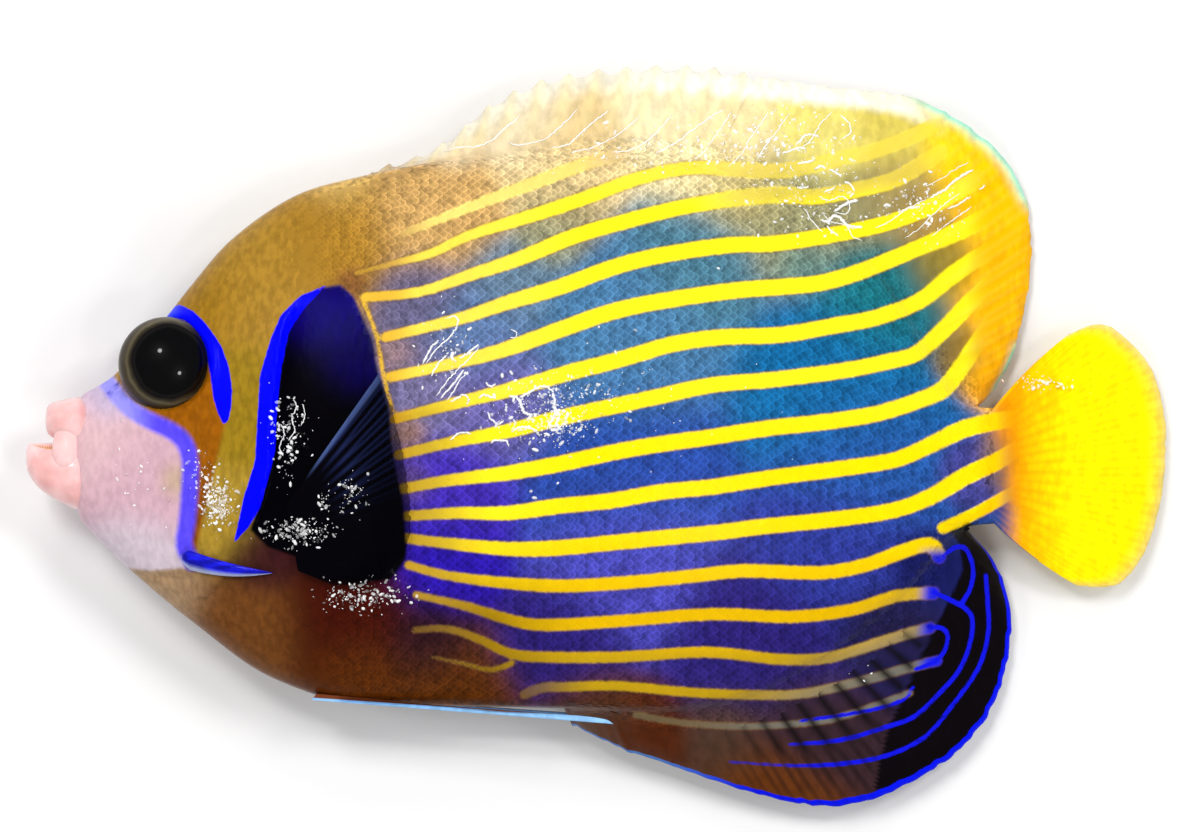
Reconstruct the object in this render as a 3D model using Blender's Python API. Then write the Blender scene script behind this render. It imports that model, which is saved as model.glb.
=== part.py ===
"""Emperor angelfish, life size, lying at rest on its right side with the left flank up.

The head points along -X and the back along +Y. The floor is z = 0, and the origin lies on
the floor under the middle of the fish. Every size and place below is in millimetres.
"""

import math

import bmesh
import bpy
from mathutils import Matrix, Vector

MM = 0.001
GAP = 0.3
# All places are moved by this much, which puts the middle of the fish's box over the origin.
CENTRING = (-0.25, 0.19)

# Lines of the body seen from its side, as (x, y) from the snout to the tail stalk.
BACK_LINE = (
    (-66.2, 4.7), (-61.6, 7.4), (-56.0, 13.4), (-51.9, 18.6), (-46.7, 24.6), (-38.7, 30.2),
    (-31.0, 32.6), (-19.0, 34.8), (3.0, 35.8), (14.0, 34.4), (24.6, 30.2), (32.3, 24.6),
    (38.6, 17.0), (43.5, 8.4), (46.4, 4.2), (51.4, 3.2),
)
BELLY_LINE = (
    (-66.2, -10.6), (-61.9, -15.0), (-54.9, -21.2), (-50.6, -24.6), (-44.3, -29.4),
    (-39.6, -31.8), (-32.8, -34.0), (-25.0, -34.5), (-5.0, -34.9), (10.0, -35.2),
    (20.8, -33.0), (32.3, -26.2), (39.9, -19.6), (44.8, -13.6), (46.8, -12.0), (51.4, -11.4),
)
# Half of the body's thickness where it is thickest, as (x, half thickness).
HALF_THICKNESS = (
    (-66.2, 4.4), (-61.0, 5.8), (-55.0, 7.2), (-48.0, 9.1), (-41.0, 10.2), (-30.0, 11.0),
    (-10.0, 10.9), (6.0, 10.1), (20.0, 8.2), (32.0, 5.9), (42.0, 4.0), (51.4, 2.9),
)
# The section is a lens: (1 - |u|^SECTION_WIDTH)^roundness, with u = -1 at the belly, 1 at the back.
SECTION_WIDTH = 2.2
HEAD_ROUNDNESS = 0.52
BODY_ROUNDNESS = 0.68
RIM_HEAD = 0.5
RIM_BODY = 1.0

# The body's middle plane lies level at MID_HEIGHT and sinks toward the tail fin.
MID_HEIGHT = 10.3
TAIL_SINKS_FROM = 14.0
TAIL_SINKS_TO = 73.0
TAIL_SINKS_BY = 7.8

SNOUT_CUT_X = -66.0
STALK_CUT_X = 45.9
STALK_END_X = 51.2
# The cut from nape to throat along the edge of the gill covers, as (u, x).
GILL_CUT = (
    (-1.0, -54.0), (-0.88, -51.6), (-0.74, -48.4), (-0.55, -46.2), (-0.35, -44.7),
    (-0.15, -43.6), (0.05, -43.2), (0.3, -42.2), (0.55, -40.4), (0.8, -41.6), (1.0, -44.4),
)
# The front edge of each gill cover, as (u, x).
COVER_FRONT = (
    (-0.62, -49.6), (-0.52, -51.6), (-0.3, -51.4), (-0.1, -51.0), (0.1, -49.8), (0.22, -47.8),
    (0.3, -44.6),
)
COVER_THICK = 1.2

EYE_CENTRE = (-55.2, 8.7)
EYE_OFF_MIDDLE = 4.7
EYE_RADIUS = 5.3
EYE_DEPTH = 3.7
NOSTRIL_RADIUS = 0.42
NOSTRIL_DEEP = 1.1
NOSTRILS = ((-61.9, 5.0), (-60.8, 6.1))

# Rings of the two lips, as (x, middle y, half height, half width).
UPPER_LIP = (
    (-66.3, 2.0, 2.5, 4.4), (-67.5, 1.95, 2.45, 4.2), (-69.0, 1.7, 2.15, 3.5),
    (-69.7, 1.7, 1.65, 2.6), (-70.0, 1.7, 0.9, 1.4),
)
LOWER_LIP = (
    (-66.3, -5.65, 4.75, 4.4), (-68.0, -5.15, 4.05, 4.3), (-70.1, -4.5, 3.4, 3.9),
    (-71.7, -3.8, 2.7, 3.1), (-72.5, -3.1, 1.9, 2.1), (-72.8, -2.9, 1.0, 1.1),
)
LIP_SIDES = 20

CHEEK_SPINE = ((-51.6, -15.4), (-40.6, -17.4))
CHEEK_SPINE_WIDE = 1.9
CHEEK_SPINE_THICK = 1.0

# Fin margins as (x, y), from the first spine or ray to the last.
SPINY_DORSAL_MARGIN = (
    (-28.5, 33.9), (-24.0, 35.2), (-19.2, 37.4), (-14.3, 41.6), (-8.5, 44.6), (-2.0, 46.2),
    (6.8, 46.98), (15.0, 46.7), (20.4, 45.8),
)
SOFT_DORSAL_MARGIN = (
    (20.9, 45.8), (30.1, 44.4), (36.0, 43.9), (40.8, 43.0), (45.3, 41.0), (49.7, 38.0),
    (53.4, 34.0), (55.5, 28.6), (55.9, 22.0), (54.7, 15.8), (52.6, 9.6), (48.7, 5.0),
)
ANAL_MARGIN = (
    (-3.2, -37.2), (2.5, -40.0), (10.5, -42.8), (20.2, -46.0), (28.7, -47.8), (35.0, -46.9),
    (41.6, -44.0), (46.7, -40.5), (50.8, -35.2), (53.0, -28.0), (53.0, -21.6), (51.2, -16.6),
    (48.6, -13.4),
)
CAUDAL_MARGIN = (
    (60.6, 12.8), (64.6, 14.1), (68.3, 12.0), (71.5, 7.9), (73.0, 2.4), (73.3, -1.4),
    (72.9, -6.2), (71.9, -11.2), (70.0, -16.0), (66.7, -19.4), (61.6, -19.5),
)
PECTORAL_BASE = ((-39.1, -9.0), (-37.6, -17.2))
PECTORAL_MARGIN = (
    (-27.4, 7.6), (-25.4, 2.0), (-24.0, -5.0), (-23.4, -12.0), (-25.2, -16.4), (-29.0, -18.8),
    (-33.2, -19.0),
)
FOLDED_PECTORAL_BASE = ((-38.6, -9.0), (-38.6, -14.0))
FOLDED_PECTORAL_MARGIN = ((-20.4, -7.4), (-19.2, -9.6), (-19.4, -12.0), (-22.0, -14.6))
PELVIC_BASE = ((-33.0, -34.6), (-33.8, -36.3))
PELVIC_MARGIN = ((-12.0, -35.2), (-4.0, -35.6), (0.6, -36.1), (2.2, -36.8))

SPINY_DORSAL_FROM, SPINY_DORSAL_TO = -31.0, 15.0
SOFT_DORSAL_FROM, SOFT_DORSAL_TO = 15.5, 46.0
ANAL_FROM, ANAL_TO = -5.0, 46.0

FIN_ROOT_HALF = 0.75
FIN_EDGE_HALF = 0.28


def curve_at(points, at):
    """A smooth value through (place, value) pairs, in rising order of place."""
    last = len(points) - 1
    i = 0
    while i < last - 1 and at > points[i + 1][0]:
        i += 1
    x0, y0 = points[i]
    x1, y1 = points[i + 1]

    def slope(k):
        a, b = points[max(k - 1, 0)], points[min(k + 1, last)]
        return (b[1] - a[1]) / (b[0] - a[0])

    t = min(max((at - x0) / (x1 - x0), 0.0), 1.0)
    step = x1 - x0
    rise = y1 - y0
    m0, m1 = slope(i) * step, slope(i + 1) * step
    return y0 + m0 * t + (3 * rise - 2 * m0 - m1) * t * t + (m0 + m1 - 2 * rise) * t ** 3


def smooth_line(points, per_span=8):
    """Points along a smooth curve through the given ones."""
    line = []
    for i in range(len(points) - 1):
        p0 = Vector(points[max(i - 1, 0)])
        p1, p2 = Vector(points[i]), Vector(points[i + 1])
        p3 = Vector(points[min(i + 2, len(points) - 1)])
        for k in range(per_span):
            t = k / per_span
            line.append(
                p1 + (p2 - p0) * (t / 2) + (p0 * 2 - p1 * 5 + p2 * 4 - p3) * (t * t / 2)
                + (p1 * 3 - p0 - p2 * 3 + p3) * (t ** 3 / 2)
            )
    line.append(Vector(points[-1]))
    return line


def along(line, share):
    """The point at this share of a line's length."""
    lengths = [(b - a).length for a, b in zip(line, line[1:])]
    left = share * sum(lengths)
    for a, b, length in zip(line, line[1:], lengths):
        if left <= length:
            return a.lerp(b, left / length)
        left -= length
    return line[-1].copy()


def ease(t):
    t = min(max(t, 0.0), 1.0)
    return t * t * (3 - 2 * t)


def middle_height(x):
    share = min(max((x - TAIL_SINKS_FROM) / (TAIL_SINKS_TO - TAIL_SINKS_FROM), 0.0), 1.0)
    return MID_HEIGHT - TAIL_SINKS_BY * share * share


def body_y(x, u):
    top, bottom = curve_at(BACK_LINE, x), curve_at(BELLY_LINE, x)
    return bottom + (top - bottom) * (u + 1) / 2


def body_half(x, u):
    """Half of the thickness at x and at u, the share of the height from belly to back."""
    back = ease((x + 50.0) / 30.0)
    rim = RIM_HEAD + (RIM_BODY - RIM_HEAD) * back
    roundness = HEAD_ROUNDNESS + (BODY_ROUNDNESS - HEAD_ROUNDNESS) * back
    lens = max(1 - abs(u) ** SECTION_WIDTH, 0.0) ** roundness
    return rim + (curve_at(HALF_THICKNESS, x) - rim) * lens


def share_of_height(x, y):
    top, bottom = curve_at(BACK_LINE, x), curve_at(BELLY_LINE, x)
    return min(max(2 * (y - bottom) / (top - bottom) - 1, -1.0), 1.0)


def flank(x, y, side):
    """Height of the left flank (side 1) or of the right one (side -1) over the floor."""
    height = middle_height(x) + side * body_half(x, share_of_height(x, y))
    return max(height, 0.0)


def placed(x, y, z):
    return Vector((x + CENTRING[0], y + CENTRING[1], z)) * MM


def material(name, colour, roughness=0.45):
    made = bpy.data.materials.new(name)
    made.use_nodes = True
    shader = made.node_tree.nodes["Principled BSDF"]
    shader.inputs["Base Color"].default_value = (*colour, 1.0)
    shader.inputs["Roughness"].default_value = roughness
    shader.inputs["Metallic"].default_value = 0.0
    return made


def new_object(name, form, colour, roughness=0.45):
    mesh = bpy.data.meshes.new(name)
    form.to_mesh(mesh)
    form.free()
    made = bpy.data.objects.new(name, mesh)
    bpy.context.scene.collection.objects.link(made)
    if colour is None:
        made.hide_render = True
        made.display_type = "WIRE"
    else:
        mesh.materials.append(material(name, colour, roughness))
        mesh.shade_smooth()
        mesh.set_sharp_from_angle(angle=math.radians(38))
    return made


def slab(name, rows, colour, roughness=0.45):
    """A closed sheet from rows of (x, y, low z, high z), with the same triangles on both faces."""
    form = bmesh.new()
    high, low = [], []
    for row in rows:
        high.append([form.verts.new(placed(x, y, z1)) for x, y, _, z1 in row])
        low.append([form.verts.new(placed(x, y, z0)) for x, y, z0, _ in row])
    last_row, last = len(rows) - 1, len(rows[0]) - 1
    for i in range(last_row):
        for j in range(last):
            for grid, turned in ((high, False), (low, True)):
                a, b = grid[i][j], grid[i + 1][j]
                c, d = grid[i + 1][j + 1], grid[i][j + 1]
                for corners in ((a, b, c), (a, c, d)):
                    form.faces.new(corners[::-1] if turned else corners)
    border = [(i, 0) for i in range(last_row)] + [(last_row, j) for j in range(last)]
    border += [(i, last) for i in range(last_row, 0, -1)] + [(0, j) for j in range(last, 0, -1)]
    for (i, j), (m, n) in zip(border, border[1:] + border[:1]):
        form.faces.new((high[i][j], low[i][j], low[m][n]))
        form.faces.new((high[i][j], low[m][n], high[m][n]))
    bmesh.ops.recalc_face_normals(form, faces=form.faces[:])
    return new_object(name, form, colour, roughness)


def rings(name, loops, colour, roughness=0.45):
    """A closed solid through loops of points, each end closed by a fan."""
    form = bmesh.new()
    made = [[form.verts.new(placed(*point)) for point in loop] for loop in loops]
    for one, two in zip(made, made[1:]):
        for k in range(len(one)):
            n = (k + 1) % len(one)
            form.faces.new((one[k], one[n], two[n]))
            form.faces.new((one[k], two[n], two[k]))
    for loop in (made[0], made[-1]):
        centre = form.verts.new(sum((v.co for v in loop), Vector()) / len(loop))
        for k in range(len(loop)):
            form.faces.new((loop[k], loop[(k + 1) % len(loop)], centre))
    bmesh.ops.recalc_face_normals(form, faces=form.faces[:])
    return new_object(name, form, colour, roughness)


def cut(target, cutters):
    """Cuts the closed cutters out of the target and removes them."""
    for cutter in cutters:
        change = target.modifiers.new("cut", "BOOLEAN")
        change.operation = "DIFFERENCE"
        change.solver = "EXACT"
        change.object = cutter
        with bpy.context.temp_override(object=target, active_object=target):
            bpy.ops.object.modifier_apply(modifier=change.name)
        bpy.data.objects.remove(cutter, do_unlink=True)
    target.data.set_sharp_from_angle(angle=math.radians(38))


def spread(count):
    """Places from -1 to 1, closer together near both ends."""
    return [-math.cos(math.pi * k / (count - 1)) for k in range(count)]


def body_slab(name, front, rear, columns, shares, colour):
    """The body from the line front(u) to the line rear(u), both as x."""
    rows = []
    for k in range(columns):
        row = []
        for u in shares:
            x = front(u) + (rear(u) - front(u)) * k / (columns - 1)
            half = body_half(x, u)
            middle = middle_height(x)
            row.append((x, body_y(x, u), max(middle - half, 0.0), middle + half))
        rows.append(row)
    return slab(name, rows, colour)


def fin(name, base, margin, rays, colour, height, ridge, foot, bow=0.0, rows=5, root=FIN_ROOT_HALF,
        edge=FIN_EDGE_HALF, faces=(1, 1), scallop=0.0):
    """A fin from its base line to its margin, with each ray raised in its surface.

    height(x, y, w) is the fin's middle height, with w = 0 at the base and 1 at the margin.
    """
    columns = []
    for r in range(rays):
        at = (r + 0.5) / rays if rays > 1 else 0.5
        near = foot / rays
        if r == 0:
            at = near
        if r == rays - 1:
            at = 1 - near
        columns += [(at - near, 0.0), (at, 1.0), (at + near, 0.0)]
    grid = []
    for at, crest in columns:
        start, end = along(base, at), along(margin, at)
        end += (end - start).normalized() * (scallop * (crest - 0.5))
        across = Vector((-(end - start).y, (end - start).x)) / (end - start).length
        row = []
        for k in range(rows + 1):
            w = 1 - (1 - k / rows) ** 1.25
            point = start.lerp(end, w) + across * (bow * (1 - 2 * at) * 4 * w * (1 - w))
            half = root + (edge - root) * min(1.6 * w, 1.0)
            raised = crest * ridge * (1 - 0.65 * w)
            z = height(point.x, point.y, w)
            low = z - half - raised * faces[0]
            row.append((point.x, point.y, low, z + half + raised * faces[1]))
        grid.append(row)
    return slab(name, grid, colour, 0.35)


def profile(line, start, end, off, steps=40):
    """The back or belly line between two x, moved outward by off."""
    points = []
    for k in range(steps + 1):
        x = start + (end - start) * k / steps
        rise = curve_at(line, x + 0.05) - curve_at(line, x - 0.05)
        normal = Vector((-rise, 0.1)).normalized()
        points.append(Vector((x, curve_at(line, x))) + normal * off)
    return points


def spindle(name, start, end, side, colour):
    """A flattened spine over the surface, pointed at its tip."""
    loops = []
    count = 9
    run = Vector(end) - Vector(start)
    across = Vector((-run.y, run.x)).normalized()
    for k in range(count):
        t = k / (count - 1)
        wide = CHEEK_SPINE_WIDE / 2 * (0.75 + 0.25 * math.sin(math.pi * min(t * 1.6, 1.0)))
        wide *= 1 - 0.86 * ease((t - 0.35) / 0.65)
        thick = CHEEK_SPINE_THICK / 2 * (1 - 0.6 * t)
        centre = Vector(start) + run * t - across * (0.6 * math.sin(math.pi * t))
        over = max(
            side * (flank(centre.x, centre.y + dy, side) - middle_height(centre.x))
            for dy in (-wide, 0.0, wide)
        )
        z = middle_height(centre.x) + side * (over + GAP + thick)
        loop = []
        for s in range(8):
            turn = 2 * math.pi * s / 8
            flat = across * (wide * math.cos(turn))
            loop.append((centre.x + flat.x, centre.y + flat.y, z + thick * math.sin(turn)))
        loops.append(loop)
    return rings(name, loops, colour, 0.3)


for old in list(bpy.data.objects):
    bpy.data.objects.remove(old, do_unlink=True)

# Head, trunk and tail stalk: one body parted by thin cuts.
half_gap = GAP / 2
head = body_slab(
    "head", lambda u: SNOUT_CUT_X, lambda u: curve_at(GILL_CUT, u) - half_gap, 18, spread(19),
    (0.50, 0.34, 0.38),
)
trunk = body_slab(
    "trunk", lambda u: curve_at(GILL_CUT, u) + half_gap, lambda u: STALK_CUT_X - half_gap, 27,
    spread(21), (0.08, 0.22, 0.45),
)
body_slab(
    "tail_stalk", lambda u: STALK_CUT_X + half_gap, lambda u: STALK_END_X, 5, spread(13),
    (0.75, 0.45, 0.03),
)

# Gill covers: flaps that lie in the sides of the head, flush with it, open along their rear edge.
COVER_ROWS, COVER_COLUMNS = 14, 7


def cover_rows(side, more, deep, high):
    rows = []
    low_u, high_u = COVER_FRONT[0][0], COVER_FRONT[-1][0]
    more_u = more / 28.0
    for k in range(COVER_ROWS):
        u = low_u - more_u + (high_u - low_u + 2 * more_u) * k / (COVER_ROWS - 1)
        front = curve_at(COVER_FRONT, u) - more
        rear = curve_at(GILL_CUT, u) - half_gap + more * 6
        row = []
        for m in range(COVER_COLUMNS):
            x = front + (rear - front) * m / (COVER_COLUMNS - 1)
            outer = middle_height(x) + side * (body_half(x, u) + high)
            inner = middle_height(x) + side * (body_half(x, u) - deep)
            row.append((x, body_y(x, u), min(outer, inner), max(outer, inner)))
        rows.append(row)
    return rows


cutters = []
for side, word in ((1, "left"), (-1, "right")):
    slab(f"gill_cover_{word}", cover_rows(side, 0.0, COVER_THICK, 0.0), (0.42, 0.26, 0.08))
    cutters.append(slab("recess", cover_rows(side, GAP, COVER_THICK + GAP, 3.0), None))

# Eyes: flattened globes in round sockets on both sides of the head.


def globe(name, side, more, colour):
    form = bmesh.new()
    radius = (EYE_RADIUS + more) * MM
    bmesh.ops.create_uvsphere(form, u_segments=24, v_segments=12, radius=radius)
    squash = Matrix.Diagonal((1.0, 1.0, (EYE_DEPTH + more) / (EYE_RADIUS + more), 1.0))
    z = MID_HEIGHT + side * EYE_OFF_MIDDLE
    place = Matrix.Translation(placed(*EYE_CENTRE, z))
    bmesh.ops.transform(form, matrix=place @ squash, verts=form.verts)
    return new_object(name, form, colour, 0.08)


for side, word in ((1, "left"), (-1, "right")):
    globe(f"eye_{word}", side, 0.0, (0.02, 0.02, 0.02))
    cutters.append(globe("socket", side, GAP, None))

# Nostrils: two small pits in front of each eye.
for side in (1, -1):
    for x, y in NOSTRILS:
        form = bmesh.new()
        bmesh.ops.create_cone(
            form, cap_ends=True, segments=10, radius1=NOSTRIL_RADIUS * MM,
            radius2=NOSTRIL_RADIUS * MM, depth=2 * NOSTRIL_DEEP * MM,
        )
        place = Matrix.Translation(placed(x, y, flank(x, y, side)))
        bmesh.ops.transform(form, matrix=place, verts=form.verts)
        cutters.append(new_object("nostril", form, None))
cut(head, cutters)

# Lips: two rounded caps on the snout, with the line of the mouth between them.
for name, lip, colour in (
    ("upper_lip", UPPER_LIP, (0.80, 0.42, 0.40)), ("lower_jaw", LOWER_LIP, (0.78, 0.50, 0.50)),
):
    loops = []
    for x, y, tall, wide in lip:
        loop = []
        for s in range(LIP_SIDES):
            turn = 2 * math.pi * s / LIP_SIDES
            up = abs(math.sin(turn)) ** 0.75 * math.copysign(1, math.sin(turn))
            out = abs(math.cos(turn)) ** 0.75 * math.copysign(1, math.cos(turn))
            loop.append((x, y + tall * up, MID_HEIGHT + wide * out))
        loops.append(loop)
    rings(name, loops, colour, 0.3)

for side, word in ((1, "left"), (-1, "right")):
    spindle(f"cheek_spine_{word}", CHEEK_SPINE[0], CHEEK_SPINE[1], side, (0.05, 0.12, 0.65))

# Fins on the middle line. They sink toward their margins, down to just over the floor.


def sinking(by, power):
    def height(x, y, w):
        return middle_height(x) - by * w ** power

    return height


fin(
    "dorsal_fin_spiny", profile(BACK_LINE, SPINY_DORSAL_FROM, SPINY_DORSAL_TO, GAP),
    smooth_line(SPINY_DORSAL_MARGIN), 14, (0.62, 0.50, 0.36), sinking(4.0, 1.6), 0.32, 0.16,
    scallop=0.9,
)
fin(
    "dorsal_fin_soft", profile(BACK_LINE, SOFT_DORSAL_FROM, SOFT_DORSAL_TO, GAP),
    smooth_line(SOFT_DORSAL_MARGIN), 20, (0.80, 0.55, 0.10), sinking(5.2, 1.5), 0.26, 0.22,
    bow=0.5, rows=5,
)
fin(
    "anal_fin", profile(BELLY_LINE, ANAL_FROM, ANAL_TO, -GAP),
    smooth_line(ANAL_MARGIN), 22, (0.05, 0.06, 0.20), sinking(5.0, 1.5), 0.28, 0.22, rows=5,
)
fin(
    "caudal_fin", [Vector((STALK_END_X + GAP, 3.0)), Vector((STALK_END_X + GAP, -11.2))],
    smooth_line(CAUDAL_MARGIN), 17, (0.90, 0.62, 0.04), sinking(0.9, 1.5), 0.26, 0.24,
    bow=0.5, rows=6,
)

# Paired fins. The left pectoral fin is spread over the flank, and the right one is folded in a
# shallow hollow under the body.
PECTORAL_HALF = 0.3


def over_left(x, y, w):
    return flank(x, y, 1) + GAP + 0.12 + PECTORAL_HALF + 0.45 * w + 0.35 * (1 - w)


fin(
    "pectoral_fin_left", [Vector(p) for p in PECTORAL_BASE], smooth_line(PECTORAL_MARGIN), 17,
    (0.35, 0.40, 0.62), over_left, 0.2, 0.24, root=0.6, edge=0.26, faces=(0, 1), rows=5,
)
FOLDED_HEIGHT = 0.75


def under_body(x, y, w):
    return FOLDED_HEIGHT


fin(
    "pectoral_fin_right", [Vector(p) for p in FOLDED_PECTORAL_BASE],
    smooth_line(FOLDED_PECTORAL_MARGIN), 10, (0.30, 0.34, 0.50), under_body, 0.15, 0.24,
    root=0.32, edge=0.26, faces=(1, 0), rows=4,
)
hollow = []
for x in (-39.4, -34.0, -28.0, -22.0, -18.4):
    row = []
    for y in (-16.2, -11.5, -5.8):
        row.append((x, y, -1.0, FOLDED_HEIGHT + 0.32 + GAP))
    hollow.append(row)
cut(trunk, [slab("hollow", hollow, None)])

PELVIC_OFF_MIDDLE = 2.0
PELVIC_SPREADS_BY = 1.5


def pelvic_height(side):
    def height(x, y, w):
        return middle_height(x) + side * (PELVIC_OFF_MIDDLE + PELVIC_SPREADS_BY * w)

    return height


for side, word in ((1, "left"), (-1, "right")):
    faces = (0, 1) if side > 0 else (1, 0)
    fin(
        f"pelvic_fin_{word}", [Vector(p) for p in PELVIC_BASE], smooth_line(PELVIC_MARGIN), 6,
        (0.30, 0.20, 0.14), pelvic_height(side), 0.25, 0.3, root=0.6, edge=0.3, faces=faces,
    )
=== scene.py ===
import math

import bmesh
import bpy
import numpy as np
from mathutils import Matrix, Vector
from mathutils.bvhtree import BVHTree


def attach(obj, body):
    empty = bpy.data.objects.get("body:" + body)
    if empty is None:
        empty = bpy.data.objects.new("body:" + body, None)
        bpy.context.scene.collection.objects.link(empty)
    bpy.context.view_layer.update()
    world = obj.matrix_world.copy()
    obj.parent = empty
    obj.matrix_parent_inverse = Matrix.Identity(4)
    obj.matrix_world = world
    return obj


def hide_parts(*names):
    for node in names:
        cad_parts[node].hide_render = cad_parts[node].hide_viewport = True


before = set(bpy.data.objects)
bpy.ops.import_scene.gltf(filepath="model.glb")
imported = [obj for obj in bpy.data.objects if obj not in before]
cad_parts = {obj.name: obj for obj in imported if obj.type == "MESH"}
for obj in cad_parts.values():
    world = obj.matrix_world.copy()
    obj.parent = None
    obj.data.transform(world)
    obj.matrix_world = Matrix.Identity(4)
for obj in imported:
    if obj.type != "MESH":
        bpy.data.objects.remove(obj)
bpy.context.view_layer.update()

# The camera looks straight down on the left flank, with the back of the fish toward the top
# of the picture. The lens is long, because the fish was photographed from well above it.
MM = 0.001
EYE_ABOVE = 900.0
MIDDLE = 10.3
SHOWN_WIDTH = 152.87
LENS_AXIS = (0.18, 2.48)

lens = bpy.data.cameras.new("camera")
lens.sensor_width = 36.0
lens.lens = lens.sensor_width * EYE_ABOVE / SHOWN_WIDTH
lens.clip_start = 0.01
lens.clip_end = 20.0


def placed(name, content):
    """An object in the scene that holds a mesh, a lamp or the camera."""
    made = bpy.data.objects.new(name, content)
    bpy.context.scene.collection.objects.link(made)
    return made


camera = placed("camera", lens)
camera.location = Vector((*LENS_AXIS, MIDDLE + EYE_ABOVE)) * MM
bpy.context.scene.camera = camera
bpy.context.scene.view_settings.view_transform = "Standard"

# A plain pale floor. Large lamps that the wet skin doesn't mirror stand round the fish, so that
# its colours stay deep, and two small ones overhead break into sparks on its wet places.
FLOOR_HALF, FLOOR_BELOW = 1.6, 0.0002
LAMPS = (
    ("lamp_back", (-60, 820, 600), 460, 2.6, False), ("lamp_front", (40, -780, 640), 420, 2.2, False),
    ("lamp_head", (-800, 60, 620), 420, 2.3, False), ("lamp_tail", (800, 60, 620), 420, 2.1, False),
    ("panel_head", (-280, 400, 800), 250, 2.6, False), ("panel_tail", (380, 330, 800), 230, 2.2, False),
    ("spark_head", (-210, 330, 900), 100, 0.7, True), ("spark_tail", (260, -200, 900), 90, 0.55, True),
)


def as_mesh(name, form):
    mesh = bpy.data.meshes.new(name)
    form.to_mesh(mesh)
    form.free()
    return mesh


floor_form = bmesh.new()
bmesh.ops.create_grid(floor_form, x_segments=8, y_segments=8, size=FLOOR_HALF)
bmesh.ops.translate(floor_form, vec=Vector((0, 0, -FLOOR_BELOW)), verts=floor_form.verts)
floor = placed("floor", as_mesh("floor", floor_form))
floor_paint = bpy.data.materials.new("pale floor")
floor_paint.use_nodes = True
floor_shader = floor_paint.node_tree.nodes["Principled BSDF"]
floor_shader.inputs["Base Color"].default_value = (0.88, 0.88, 0.89, 1.0)
floor_shader.inputs["Roughness"].default_value = 0.7
floor.data.materials.append(floor_paint)

room = bpy.data.worlds.new("dim room")
room.use_nodes = True
room.node_tree.nodes["Background"].inputs["Color"].default_value = (0.95, 0.97, 1.0, 1.0)
room.node_tree.nodes["Background"].inputs["Strength"].default_value = 0.22
bpy.context.scene.world = room

for name, place, size, watts, mirrored in LAMPS:
    light = bpy.data.lights.new(name, "AREA")
    light.shape = "DISK"
    light.size = size * MM
    light.energy = watts
    light.color = (1.0, 0.99, 0.97)
    stand = placed(name, light)
    stand.location = Vector(place) * MM
    stand.rotation_euler = stand.location.to_track_quat("Z", "Y").to_euler()
    stand.visible_glossy = mirrored

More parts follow.
